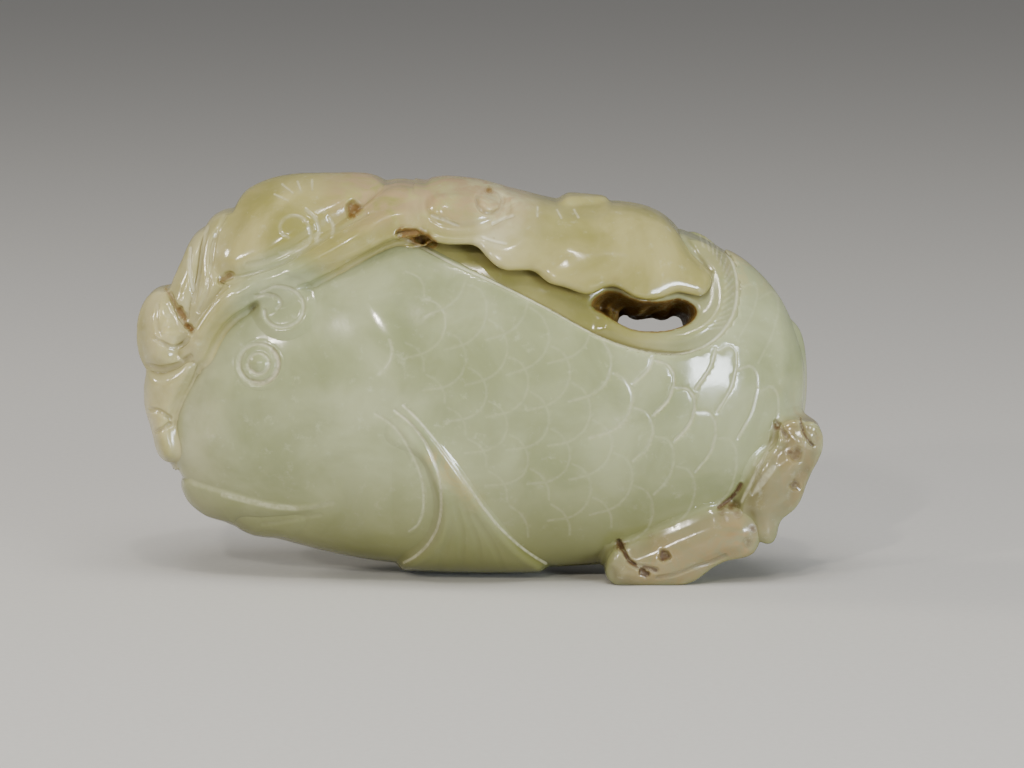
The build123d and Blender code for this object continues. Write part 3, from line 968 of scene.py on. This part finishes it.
# back leaf: flutes from its notches, a line under its root and a round bulge at its end
FLUTES = [
    [(-0.2, 39.0), (0.8, 40.2), (2.9, 40.6)],
    [(7.4, 35.8), (8.2, 37.0), (10.0, 38.2)],
]
for flute in FLUTES:
    both.ridge(flute, 2.2, -0.2)
both.groove([(0.4, 40.7), (1.8, 40.2), (3.2, 39.9)], 0.4, 0.1, 0.5)
both.ridge([(19.0, 38.0), (22.6, 37.2)], 5.0, 0.2)
both.groove([(23.9, 41.0), (25.0, 39.2), (26.2, 37.6), (27.2, 36.4)], 0.6, 0.25, 0.1)

# small holes under the leaves
both.pit(-8.4, 41.1, 0.6, 0.8, 0.9, (0.9, 0.05))
both.pit(-7.2, 40.6, 0.5, 0.8, 1.0, (0.6, -0.3))
both.pit(-29.8, 35.9, 0.6, 0.4, 0.5, (0.5, 0.3))
both.pit(-14.7, 44.0, 1.1, 0.5, 0.75)
both.stain(-14.9, 43.3, 0.6, 0.8)

# earth left in the stone at the stem's end: each patch's place and radius
STEM_STAINS = [(-9.0, 41.2, 0.8), (-8.1, 41.0, 0.9), (-7.2, 40.7, 1.1), (-6.2, 40.3, 0.9), (-5.4, 39.9, 0.6)]
for x, z, radius in STEM_STAINS:
    both.stain(x, z, radius, 1.0)
both.stain(-1.5, 39.6, 1.5, 0.25)
both.stain(16.0, 35.6, 1.2, 0.3)

# scroll and tail, which are on the left flank only
right = both.copy()
left = both
left.groove([(-25.6, 34.2), (-24.0, 34.9), (-22.2, 34.6), (-21.0, 33.7),
             (-20.6, 32.4), (-21.2, 30.9), (-22.7, 30.1), (-24.2, 30.3), (-25.1, 31.2), (-25.2, 32.0)],
            0.55, 0.18, 0.4)
left.groove([(-26.2, 33.7), (-24.7, 33.9), (-23.6, 33.5), (-23.3, 32.8), (-23.7, 32.3)], 0.55, 0.18, 0.3)
left.pit(21.8, 3.2, 0.85, 0.55, 0.8)
left.pit(19.4, 1.2, 0.5, 0.5, 0.95, (0.25, -0.15))
left.groove([(16.4, 4.9), (17.0, 3.9), (17.5, 2.9), (18.3, 2.2)], 0.6, 0.5, 0.0, 1.0)
left.groove([(17.6, 2.6), (18.6, 2.0), (19.8, 1.8), (20.8, 1.5)], 0.9, 0.3, 0.2, 0.6)
left.groove([(21.0, 0.6), (23.0, 1.0), (25.4, 1.9), (27.4, 2.5), (29.0, 3.2)], 0.6, 0.2, 0.1, 0.35)
left.ridge([(16.0, 2.4), (16.4, 3.4)], 1.6, 0.45)
left.ridge([(17.0, 1.0), (18.0, 0.8)], 1.6, 0.25)
left.ridge([(29.0, 8.0), (29.4, 6.6), (30.2, 5.4), (31.4, 4.6)], 2.2, -0.25)
left.pit(37.3, 15.1, 0.9, 0.4, 0.45, (0.1, 0.15))
left.pit(37.2, 11.5, 0.75, 0.25, 0.5)
left.stain(36.6, 15.4, 0.5, 0.6)
left.ridge([(39.0, 17.6), (39.2, 18.4)], 1.7, 0.5)
left.groove([(37.8, 19.4), (38.0, 18.3), (38.5, 17.1), (39.3, 16.2)], 0.55, 0.35, 0.2, 0.6)
left.groove([(35.0, 18.9), (35.6, 18.0), (36.2, 17.2)], 0.8, 0.3, 0.2, 0.5)
left.ridge([(33.4, 13.0), (34.4, 15.0), (35.6, 16.6)], 1.3, 0.3)
left.groove([(30.9, 9.6), (31.9, 11.4), (33.0, 13.6), (34.0, 15.4)], 0.5, 0.15, 0.4, 0.2)
left.ridge([(34.2, 4.6), (33.2, 6.4), (32.8, 8.4)], 1.6, 0.3)

# a fan of fine lines on the upper lobe, which lie close together
FAN_SPACING = 0.42
for along in np.arange(6) * FAN_SPACING:
    foot = (32.2 + 0.3 * along, 10.4 + 0.2 * along)
    left.groove([foot, (33.2 + 0.35 * along, 12.2), (34.6 + 0.2 * along, 13.8)],
                width=0.26, depth=0.06, matte=0.4)
left.groove([(28.2, 8.9), (29.2, 9.6), (30.2, 10.6), (30.8, 11.6)], 0.6, 0.2, 0.0, 0.9)

# earth in the tail: each patch's place, radius and strength
TAIL_STAINS = [
    (28.6, 8.5, 0.8, 0.5),
    (29.7, 9.0, 0.9, 0.6),
    (30.4, 8.2, 0.9, 0.5),
    (32.2, 6.4, 0.7, 0.6),
    (29.2, 7.6, 0.8, 0.35),
    (35.0, 18.4, 0.6, 0.7),
    (16.7, 4.4, 0.8, 0.8),
    (31.6, 4.8, 0.8, 0.5),
    (38.6, 13.4, 0.8, 0.35),
    (24.5, 7.2, 1.0, 0.3),
    (20.2, 5.6, 0.8, 0.35),
]
for patch in TAIL_STAINS:
    left.stain(*patch)

HEIGHT = {LEFT: left.height(), RIGHT: right.height()}
DRAWN = {LEFT: left, RIGHT: right}


def on_both_flanks(p, normal, chart_of):
    """A chart's value at each point, taken from the flank that the point faces."""
    value = np.zeros(len(p))
    for side in (LEFT, RIGHT):
        facing = (normal[:, 1] * side) > 0
        x, z = drawn_at(p[facing], side)
        value[facing] = sample(chart_of(side), x, z)
    return value


# ---------------------------------------------------------------- skins of the fields
BODY_VOXEL = 0.8
FINE_VOXEL = 0.45           # for every other motif
BOX_MARGIN = 2.0            # space left round a motif's CAD box
SLOPE_STEP = 0.06           # points this far apart give a field's slope
UNLINED = ("tail_stalk",)
LOW_PIECES = ("left_pectoral_fin", "right_pectoral_fin", "tail_lower_lobe")     # lines fade at the table
LINED = (0.2,)              # a mesh is made finer where the chart of its lines is over this
BODY_LINED = (0.2, 0.6)     # and the body's coarser mesh is made finer twice
CREVICE_SHADE_REACH = 0.9            # how far from a crevice its painted shade begins
JOIN_REACH = 2.0            # how far from its neighbours a motif's stone lets light wander freely


def gradient(field, p):
    """The field's slope at each point."""
    slope = np.empty_like(p)
    for axis in range(3):
        offset = np.zeros(3)
        offset[axis] = SLOPE_STEP
        slope[:, axis] = (field(p + offset) - field(p - offset)) / (2 * SLOPE_STEP)
    return slope


def onto_skin(field, p, rounds=3):
    """Points moved to the field's zero, along its slope."""
    for _ in range(rounds):
        slope = gradient(field, p)
        size = np.maximum((slope ** 2).sum(axis=1), 0.2)
        p = p - np.clip(field(p) / size, -0.3, 0.3)[:, None] * slope
    return p


def first_skin(field, low, high, voxel):
    """Vertices and quads of the field's skin between two corners."""
    count = np.ceil((high - low) / voxel).astype(int) + 1
    axes = [low[a] + voxel * np.arange(count[a]) for a in range(3)]
    grid = np.stack(np.meshgrid(*axes, indexing="ij"), axis=-1).reshape(-1, 3)
    values = field(grid).reshape(count).astype(np.float32)
    volume = openvdb.FloatGrid(background=3.0)
    volume.copyFromArray(np.clip(values, -3.0, 3.0))
    points, quads = volume.convertToQuads()
    return low + voxel * points.astype(float), quads


def points_of(mesh):
    """The mesh's vertices in millimetres."""
    co = np.empty(len(mesh.vertices) * 3)
    mesh.vertices.foreach_get("co", co)
    return co.reshape(-1, 3) / MM


def normals_of(mesh):
    normal = np.empty(len(mesh.vertices) * 3, np.float32)
    mesh.vertices.foreach_get("normal", normal)
    return normal.reshape(-1, 3).astype(float)


def set_points(mesh, p):
    mesh.vertices.foreach_set("co", (p * MM).ravel())
    mesh.update()


def halve_edges(mesh, wanted):
    """Every edge between two wanted vertices is cut in half."""
    bm = bmesh.new()
    bm.from_mesh(mesh)
    bm.verts.ensure_lookup_table()
    edges = [e for e in bm.edges if wanted[e.verts[0].index] and wanted[e.verts[1].index]]
    bmesh.ops.subdivide_edges(bm, edges=edges, cuts=1, use_grid_fill=True)
    bm.to_mesh(mesh)
    bm.free()
    mesh.update()


def box_of(name):
    """The corners of a motif's CAD nodes, in millimetres."""
    corners = np.array([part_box(node) for node in NODES_OF[name]]) / MM
    return corners[:, 0].min(axis=0), corners[:, 1].max(axis=0)


def skin_mesh(name, field):
    """The motif's closed mesh, finest where lines are cut, with the lines pressed in."""
    low, high = box_of(name)
    voxel = BODY_VOXEL if name == BODY else FINE_VOXEL
    p, quads = first_skin(field, low - BOX_MARGIN, high + BOX_MARGIN, voxel)
    mesh = bpy.data.meshes.new(name + "_skin")
    mesh.from_pydata((p * MM).tolist(), [], quads.tolist())
    mesh.update()
    set_points(mesh, onto_skin(field, p))
    halve_edges(mesh, np.ones(len(mesh.vertices), bool))
    set_points(mesh, onto_skin(field, points_of(mesh), 2))
    for finest in BODY_LINED if name == BODY else LINED:
        lined = on_both_flanks(points_of(mesh), normals_of(mesh), lambda side: DRAWN[side].fine) > finest
        halve_edges(mesh, lined)
        set_points(mesh, onto_skin(field, points_of(mesh), 2))
    if name in UNLINED:
        return mesh
    p = points_of(mesh)
    normal = normals_of(mesh)
    height = on_both_flanks(p, normal, lambda side: HEIGHT[side])
    height = height * smooth_step(np.abs(normal[:, 1]), 0.2, 0.6)
    if name in LOW_PIECES:
        height = height * smooth_step(p[:, 2], 0.05, 0.6)
    set_points(mesh, p + height[:, None] * normal)
    return mesh


boxes = {name: box_of(name) for name in fields}


def crowding(p, normal):
    """How much painted shade darkens the stone: from 0 on open stone to 1 deep in a crevice between motifs.
    """
    ahead = p + CREVICE_SHADE_REACH * normal
    room = np.full(len(p), CREVICE_SHADE_REACH)
    for name, field in fields.items():
        low, high = boxes[name]
        close = ((ahead > low - BOX_MARGIN) & (ahead < high + BOX_MARGIN)).all(axis=1)
        if close.any():
            room[close] = np.minimum(room[close], field(ahead[close]))
    return np.clip(1 - room / CREVICE_SHADE_REACH, 0, 1)


def closeness(name, p):
    """From 0 in a motif's own stone to 1 where it meets another motif."""
    nearest = np.full(len(p), JOIN_REACH)
    for other, field in fields.items():
        if other != name:
            low, high = boxes[other]
            close = ((p > low - JOIN_REACH) & (p < high + JOIN_REACH)).all(axis=1)
            if close.any():
                nearest[close] = np.minimum(nearest[close], np.abs(field(p[close])))
    return 1 - nearest / JOIN_REACH


def set_values(mesh, name, values):
    """A value at each vertex, under a name that the materials read."""
    layer = mesh.attributes.new(name, "FLOAT", "POINT")
    layer.data.foreach_set("value", values.astype(np.float32))


# ---------------------------------------------------------------- jade
def linear(red, green, blue):
    """A colour for a shader from its screen values, 0 to 255."""
    share = [v / 255 for v in (red, green, blue)]
    return tuple(v / 12.92 if v < 0.04 else ((v + 0.055) / 1.055) ** 2.4 for v in share) + (1.0,)


# What the stone turns to where it is bleached, flecked, deep olive with painted shade towards the belly, cut
# matte, or darkened by painted shade deep in a crevice
BLEACHED = linear(204, 198, 168)
FLECKED = linear(205, 205, 180)
# painted shade: the deep olive the stone turns to towards the belly, also the dorsal fin's deeper olive
OLIVE_AND_BELLY_SHADE = linear(108, 108, 56)
CUT = linear(208, 205, 176)
# painted shade: the dark colour the stone turns to deep in crevices between motifs
CREVICE_SHADE = linear(112, 102, 60)
SCATTER_RADIUS = (1.0, 1.0, 0.7)
SCATTER_SCALE = 2.2 * MM
JADE_IOR = 1.61
GRAIN_STRENGTH = 0.35
GRAIN_HEIGHT = 0.12 * MM


class Maker:
    """Builds one material's nodes."""

    def __init__(self, name):
        self.material = bpy.data.materials.new(name)
        self.material.use_nodes = True
        self.tree = self.material.node_tree
        self.shader = self.tree.nodes["Principled BSDF"]
        self.place = self.tree.nodes.new("ShaderNodeTexCoord").outputs["Object"]

    def link(self, source, target):
        if hasattr(source, "is_linked"):
            self.tree.links.new(source, target)
        else:
            target.default_value = source

    def noise(self, size, detail=3.0, roughness=0.55, twist=0.0):
        """Cloudy noise with features of about that size in millimetres."""
        node = self.tree.nodes.new("ShaderNodeTexNoise")
        node.inputs["Scale"].default_value = 1 / (size * MM)
        node.inputs["Detail"].default_value = detail
        node.inputs["Roughness"].default_value = roughness
        node.inputs["Distortion"].default_value = twist
        self.link(self.place, node.inputs["Vector"])
        return node.outputs["Fac"]

    def attribute(self, name):
        node = self.tree.nodes.new("ShaderNodeAttribute")
        node.attribute_name = name
        return node.outputs["Fac"]

    def spread(self, value, low, high, start=0.0, end=1.0):
        """The value stretched from low..high to start..end, and held between them."""
        node = self.tree.nodes.new("ShaderNodeMapRange")
        node.interpolation_type = "SMOOTHSTEP"
        self.link(value, node.inputs["Value"])
        for key, number in zip(("From Min", "From Max", "To Min", "To Max"), (low, high, start, end)):
            node.inputs[key].default_value = number
        return node.outputs["Result"]

    def maths(self, operation, a, b):
        node = self.tree.nodes.new("ShaderNodeMath")
        node.operation = operation
        self.link(a, node.inputs[0])
        self.link(b, node.inputs[1])
        return node.outputs[0]

    def mixed(self, share, a, b):
        """Colour a, turning to colour b by that share."""
        node = self.tree.nodes.new("ShaderNodeMix")
        node.data_type = "RGBA"
        self.link(share, node.inputs["Factor"])
        self.link(a, node.inputs[6])
        self.link(b, node.inputs[7])
        return node.outputs[2]


def jade(name, pale, deep, blush, earth, other=None):
    """Polished nephrite: cloudy stone with matte whitish cuts, earth in its crevices, and painted shade deep
    in crevices between motifs and towards the belly.

    Where a mesh's "other" value is 1, the stone has the other pair of colours, deep and pale.
    """
    m = Maker(name)
    cloud = m.spread(m.noise(9.0, 4.0, 0.55, 0.4), 0.3, 0.74)
    colour = m.mixed(cloud, deep, pale)
    if other:
        colour = m.mixed(m.attribute("other"), colour, m.mixed(cloud, *other))
    patches = m.spread(m.noise(4.0, 3.0, 0.6), 0.3, 0.6, 0.4, 1.0)
    colour = m.mixed(m.maths("MULTIPLY", m.attribute("bleached"), patches), colour, BLEACHED)
    fleck = m.spread(m.noise(1.6, 4.0, 0.7), 0.56, 0.78, 0.0, 0.28)
    colour = m.mixed(fleck, colour, FLECKED)
    warm = m.maths("MULTIPLY", m.attribute("blush"), m.spread(m.noise(3.5, 4.0, 0.65, 1.0), 0.36, 0.62))
    colour = m.mixed(warm, colour, blush)
    # painted shade: deeper olive towards the belly; along the dorsal fin, deeper olive as well
    colour = m.mixed(m.attribute("olive_and_belly_shade"), colour, OLIVE_AND_BELLY_SHADE)
    cut = m.attribute("matte")
    worn = m.spread(m.noise(0.7, 2.0), 0.3, 0.6, 0.45, 1.0)
    colour = m.mixed(m.maths("MULTIPLY", cut, worn), colour, CUT)
    # painted shade: the stone darkens deep in crevices between motifs
    crevice_shade = m.spread(m.attribute("crevice_shade"), 0.2, 1.0, 0.0, 0.6)
    colour = m.mixed(crevice_shade, colour, CREVICE_SHADE)
    speck = m.spread(m.noise(0.6, 3.0, 0.7), 0.3, 0.5)
    soil = m.maths("MULTIPLY", m.spread(m.attribute("dirt"), 0.15, 0.7), speck)
    colour = m.mixed(soil, colour, earth)
    m.link(colour, m.shader.inputs["Base Color"])
    rough = m.spread(m.noise(5.0, 3.0, 0.6), 0.3, 0.7, 0.12, 0.2)
    rough = m.maths("ADD", rough, m.maths("MULTIPLY", cut, 0.3))
    rough = m.maths("ADD", rough, m.maths("MULTIPLY", soil, 0.5))
    m.link(rough, m.shader.inputs["Roughness"])
    m.shader.inputs["IOR"].default_value = JADE_IOR
    m.link(m.spread(m.attribute("join"), 0.0, 1.0, 0.85, 0.1), m.shader.inputs["Subsurface Weight"])
    m.shader.inputs["Subsurface Radius"].default_value = SCATTER_RADIUS
    m.shader.inputs["Subsurface Scale"].default_value = SCATTER_SCALE
    bump = m.tree.nodes.new("ShaderNodeBump")
    bump.inputs["Strength"].default_value = GRAIN_STRENGTH
    bump.inputs["Distance"].default_value = GRAIN_HEIGHT
    waves = m.maths("MULTIPLY", m.noise(3.2, 2.0, 0.5), 0.5)
    relief = m.maths("ADD", waves, m.maths("MULTIPLY", m.noise(0.35, 2.0, 0.6), 0.1))
    m.link(relief, bump.inputs["Height"])
    m.link(bump.outputs["Normal"], m.shader.inputs["Normal"])
    return m.material


PALE_CELADON = linear(168, 172, 134)
DEEP_CELADON = linear(142, 148, 106)
STONES = {
    "celadon_jade": jade("celadon_jade", PALE_CELADON, DEEP_CELADON,
                         blush=linear(182, 160, 104), earth=linear(112, 86, 30)),
    "olive_jade": jade("olive_jade", linear(177, 168, 115), linear(142, 137, 77),
                       blush=linear(168, 146, 108), earth=linear(112, 82, 22),
                       other=(DEEP_CELADON, PALE_CELADON)),
    "russet_jade": jade("russet_jade", PALE_CELADON, DEEP_CELADON,
                        blush=linear(156, 124, 80), earth=linear(86, 62, 26),
                        other=(linear(116, 110, 76), linear(144, 139, 104))),
}
CELADON = (BODY, "upper_lip", "lower_lip", "left_eye", "right_eye", "left_gill_cover", "right_gill_cover",
           "left_pectoral_fin", "right_pectoral_fin", "tail_stalk", "stem_scroll")
RUSSET = ("tail_lower_lobe", "tail_upper_lobe")


def stone_of(name):
    if name in RUSSET:
        return "russet_jade"
    return "celadon_jade" if name in CELADON else "olive_jade"


def blush_at(p):
    """Where the stone's skin is warm in colour: along the top of the spray and round the tail."""
    x, y, z = p.T
    crest = smooth_step(z, 40.0, 46.0) * smooth_step(x, -20.0, -14.0) * (1 - smooth_step(x, 3.0, 9.0))
    shoulder = smooth_step(x, 22.0, 30.0) * smooth_step(z, 32.0, 38.0)
    tail = smooth_step(x, 31.0, 38.0) * (1 - smooth_step(z, 18.0, 26.0))
    lobes = smooth_step(x, 15.0, 20.0) * (1 - smooth_step(z, 3.0, 9.0)) * (1 - smooth_step(y, -9.0, -5.0))
    fold = np.exp(-((x - 29.8) / 2.2) ** 2 - ((z - 5.8) / 2.6) ** 2) * (y < -5.0)
    return np.clip(crest + 0.5 * shoulder + 0.35 * tail + 0.4 * lobes + 0.5 * fold + fin_streak(p), 0, 1)


def fin_streak(p):
    """A warm streak in the stone, down the rear ridge of each pectoral fin."""
    top = np.array([-4.6, 15.6])
    foot = np.array([-0.6, 10.6])
    run = foot - top
    share = np.clip(((p[:, [0, 2]] - top) @ run) / (run @ run), 0, 1)
    off = np.hypot(*(p[:, [0, 2]] - top - share[:, None] * run).T)
    return (1.0 - 0.6 * share) * np.exp(-(off / 1.1) ** 2)


def rind_at(p):
    """Where the tail's lobes have the pebble's brown rind: inside their outlines."""
    inside = np.maximum(value_at(edges["tail_lower_lobe"], p), value_at(edges["tail_upper_lobe"], p))
    return smooth_step(inside, -1.0, 0.9)


def greener_at(name, p):
    """Where the olive_jade stone turns to celadon: round the scroll, and where the dorsal fin turns up."""
    if name == "dorsal_fin":
        return 0.8 * smooth_step(p[:, 0], 17.0, 24.0)
    away = np.hypot(p[:, 0] - SCROLL_CENTRE[0], p[:, 2] - SCROLL_CENTRE[1])
    return (1 - smooth_step(away, 4.2, 8.0)) * (p[:, 1] < 0)


def bleached_at(p):
    """Where the spray's stone is paler: at the snout, and where the back leaf leaves the stem."""
    snout = 0.3 * smooth_step(-p[:, 0], 27.0, 33.0)
    root = 0.45 * np.exp(-((p[:, 0] - 2.0) / 4.5) ** 2) * smooth_step(p[:, 2], 37.0, 40.0)
    return np.maximum(snout, root)


def olive_and_belly_shade_at(name, p, rind):
    """Where the stone is deep olive: painted shade towards the belly, and deeper olive along the dorsal fin,
    most towards its front, but not in the rind.
    """
    if name == "dorsal_fin":
        return 0.6 - 0.35 * smooth_step(p[:, 0], 14.0, 22.0)
    return 0.95 * (1 - smooth_step(p[:, 2], 0.0, 19.0)) * (1 - rind)


def hole_dirt(p):
    """Earth on the pierced hole's wall, clean again near its mouths."""
    on_wall = smooth_step(outside_hole(p), -0.35, 0.0) * smooth_step(p[:, 0], 10.0, 12.0)
    return on_wall * smooth_step(12.2 - np.abs(p[:, 1]), 0.0, 2.0)


# ---------------------------------------------------------------- the pieces
for name, field in fields.items():
    mesh = skin_mesh(name, field)
    p = points_of(mesh)
    normal = normals_of(mesh)
    # painted shade where other motifs crowd close over the stone
    set_values(mesh, "crevice_shade", crowding(p, normal))
    set_values(mesh, "join", closeness(name, p))
    set_values(mesh, "matte", on_both_flanks(p, normal, lambda side: DRAWN[side].matte))
    drawn_dirt = on_both_flanks(p, normal, lambda side: DRAWN[side].dirt)
    set_values(mesh, "dirt", np.maximum(drawn_dirt, hole_dirt(p)))
    rind = rind_at(p)
    set_values(mesh, "other", rind if name in RUSSET else greener_at(name, p))
    set_values(mesh, "bleached", bleached_at(p))
    # painted shade towards the belly, and the dorsal fin's deeper olive
    set_values(mesh, "olive_and_belly_shade", olive_and_belly_shade_at(name, p, rind))
    set_values(mesh, "blush", blush_at(p))
    mesh.polygons.foreach_set("use_smooth", np.ones(len(mesh.polygons), bool))
    mesh.materials.append(STONES[stone_of(name)])
    piece = bpy.data.objects.new(name.replace("_", "-"), mesh)
    bpy.context.scene.collection.objects.link(piece)
    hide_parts(*NODES_OF[name])
    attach(piece, "root")

# ---------------------------------------------------------------- table, lights and camera
TABLE_SIZE = 4              # metres
bpy.ops.mesh.primitive_plane_add(size=TABLE_SIZE)
table = bpy.context.object
table.name = "table"
paper = Maker("table_paper")
paper.link(paper.mixed(paper.noise(0.9, 3.0), linear(196, 194, 190), linear(206, 204, 200)),
           paper.shader.inputs["Base Color"])
paper.shader.inputs["Roughness"].default_value = 0.65
table.data.materials.append(paper.material)


def soft_light(name, across, up, distance, width, height, power, colour):
    """An area light that faces the carving, so many degrees across from the front and up.

    Its distance and its size are in metres and its power in watts.
    """
    data = bpy.data.lights.new(name, "AREA")
    data.shape = "RECTANGLE"
    data.size = width
    data.size_y = height
    data.energy = power
    data.color = colour
    across = math.radians(across)
    up = math.radians(up)
    ahead = Vector((math.sin(across) * math.cos(up), -math.cos(across) * math.cos(up), math.sin(up)))
    light = bpy.data.objects.new(name, data)
    light.location = Vector(AIM * MM) + distance * ahead
    light.rotation_euler = ahead.to_track_quat("Z", "Y").to_euler()
    bpy.context.scene.collection.objects.link(light)
    return light


WARM = (1.0, 0.93, 0.82)
COOL = (0.86, 0.94, 1.0)
WHITE = (1.0, 1.0, 1.0)
soft_light("window", 41, 5, 0.55, 0.16, 0.12, 2.4, COOL)
soft_light("lamp", -17, 28, 0.6, 0.015, 0.04, 0.9, WARM)
soft_light("side-lamp", -44, 21, 0.6, 0.05, 0.025, 0.8, WARM)
soft_light("top-lamp", 0, 57, 0.6, 0.03, 0.03, 0.5, WARM)
soft_light("left-window", -97, 24, 0.6, 0.1, 0.1, 1.2, WARM)
sky_light = soft_light("sky-light", 8, 68, 0.6, 0.5, 0.4, 2.8, WHITE)
sky_light.visible_glossy = False    # its own reflection would be a hard-edged square

camera_data = bpy.data.cameras.new("camera")
camera_data.sensor_width = SENSOR
camera_data.lens = SENSOR * EYE_DISTANCE / FRAME_WIDTH
camera = bpy.data.objects.new("camera", camera_data)
camera.location = (AIM - EYE_DISTANCE * EYE_AXIS) * MM
camera.rotation_euler = (math.pi / 2 - EYE_ELEVATION, 0, 0)
bpy.context.scene.collection.objects.link(camera)
bpy.context.scene.camera = camera

WORLD_COLOUR = (0.8, 0.8, 0.8, 1)
WORLD_STRENGTH = 0.26
world = bpy.data.worlds.new("world")
world.use_nodes = True
background = world.node_tree.nodes["Background"]
background.inputs["Color"].default_value = WORLD_COLOUR
background.inputs["Strength"].default_value = WORLD_STRENGTH
bpy.context.scene.world = world
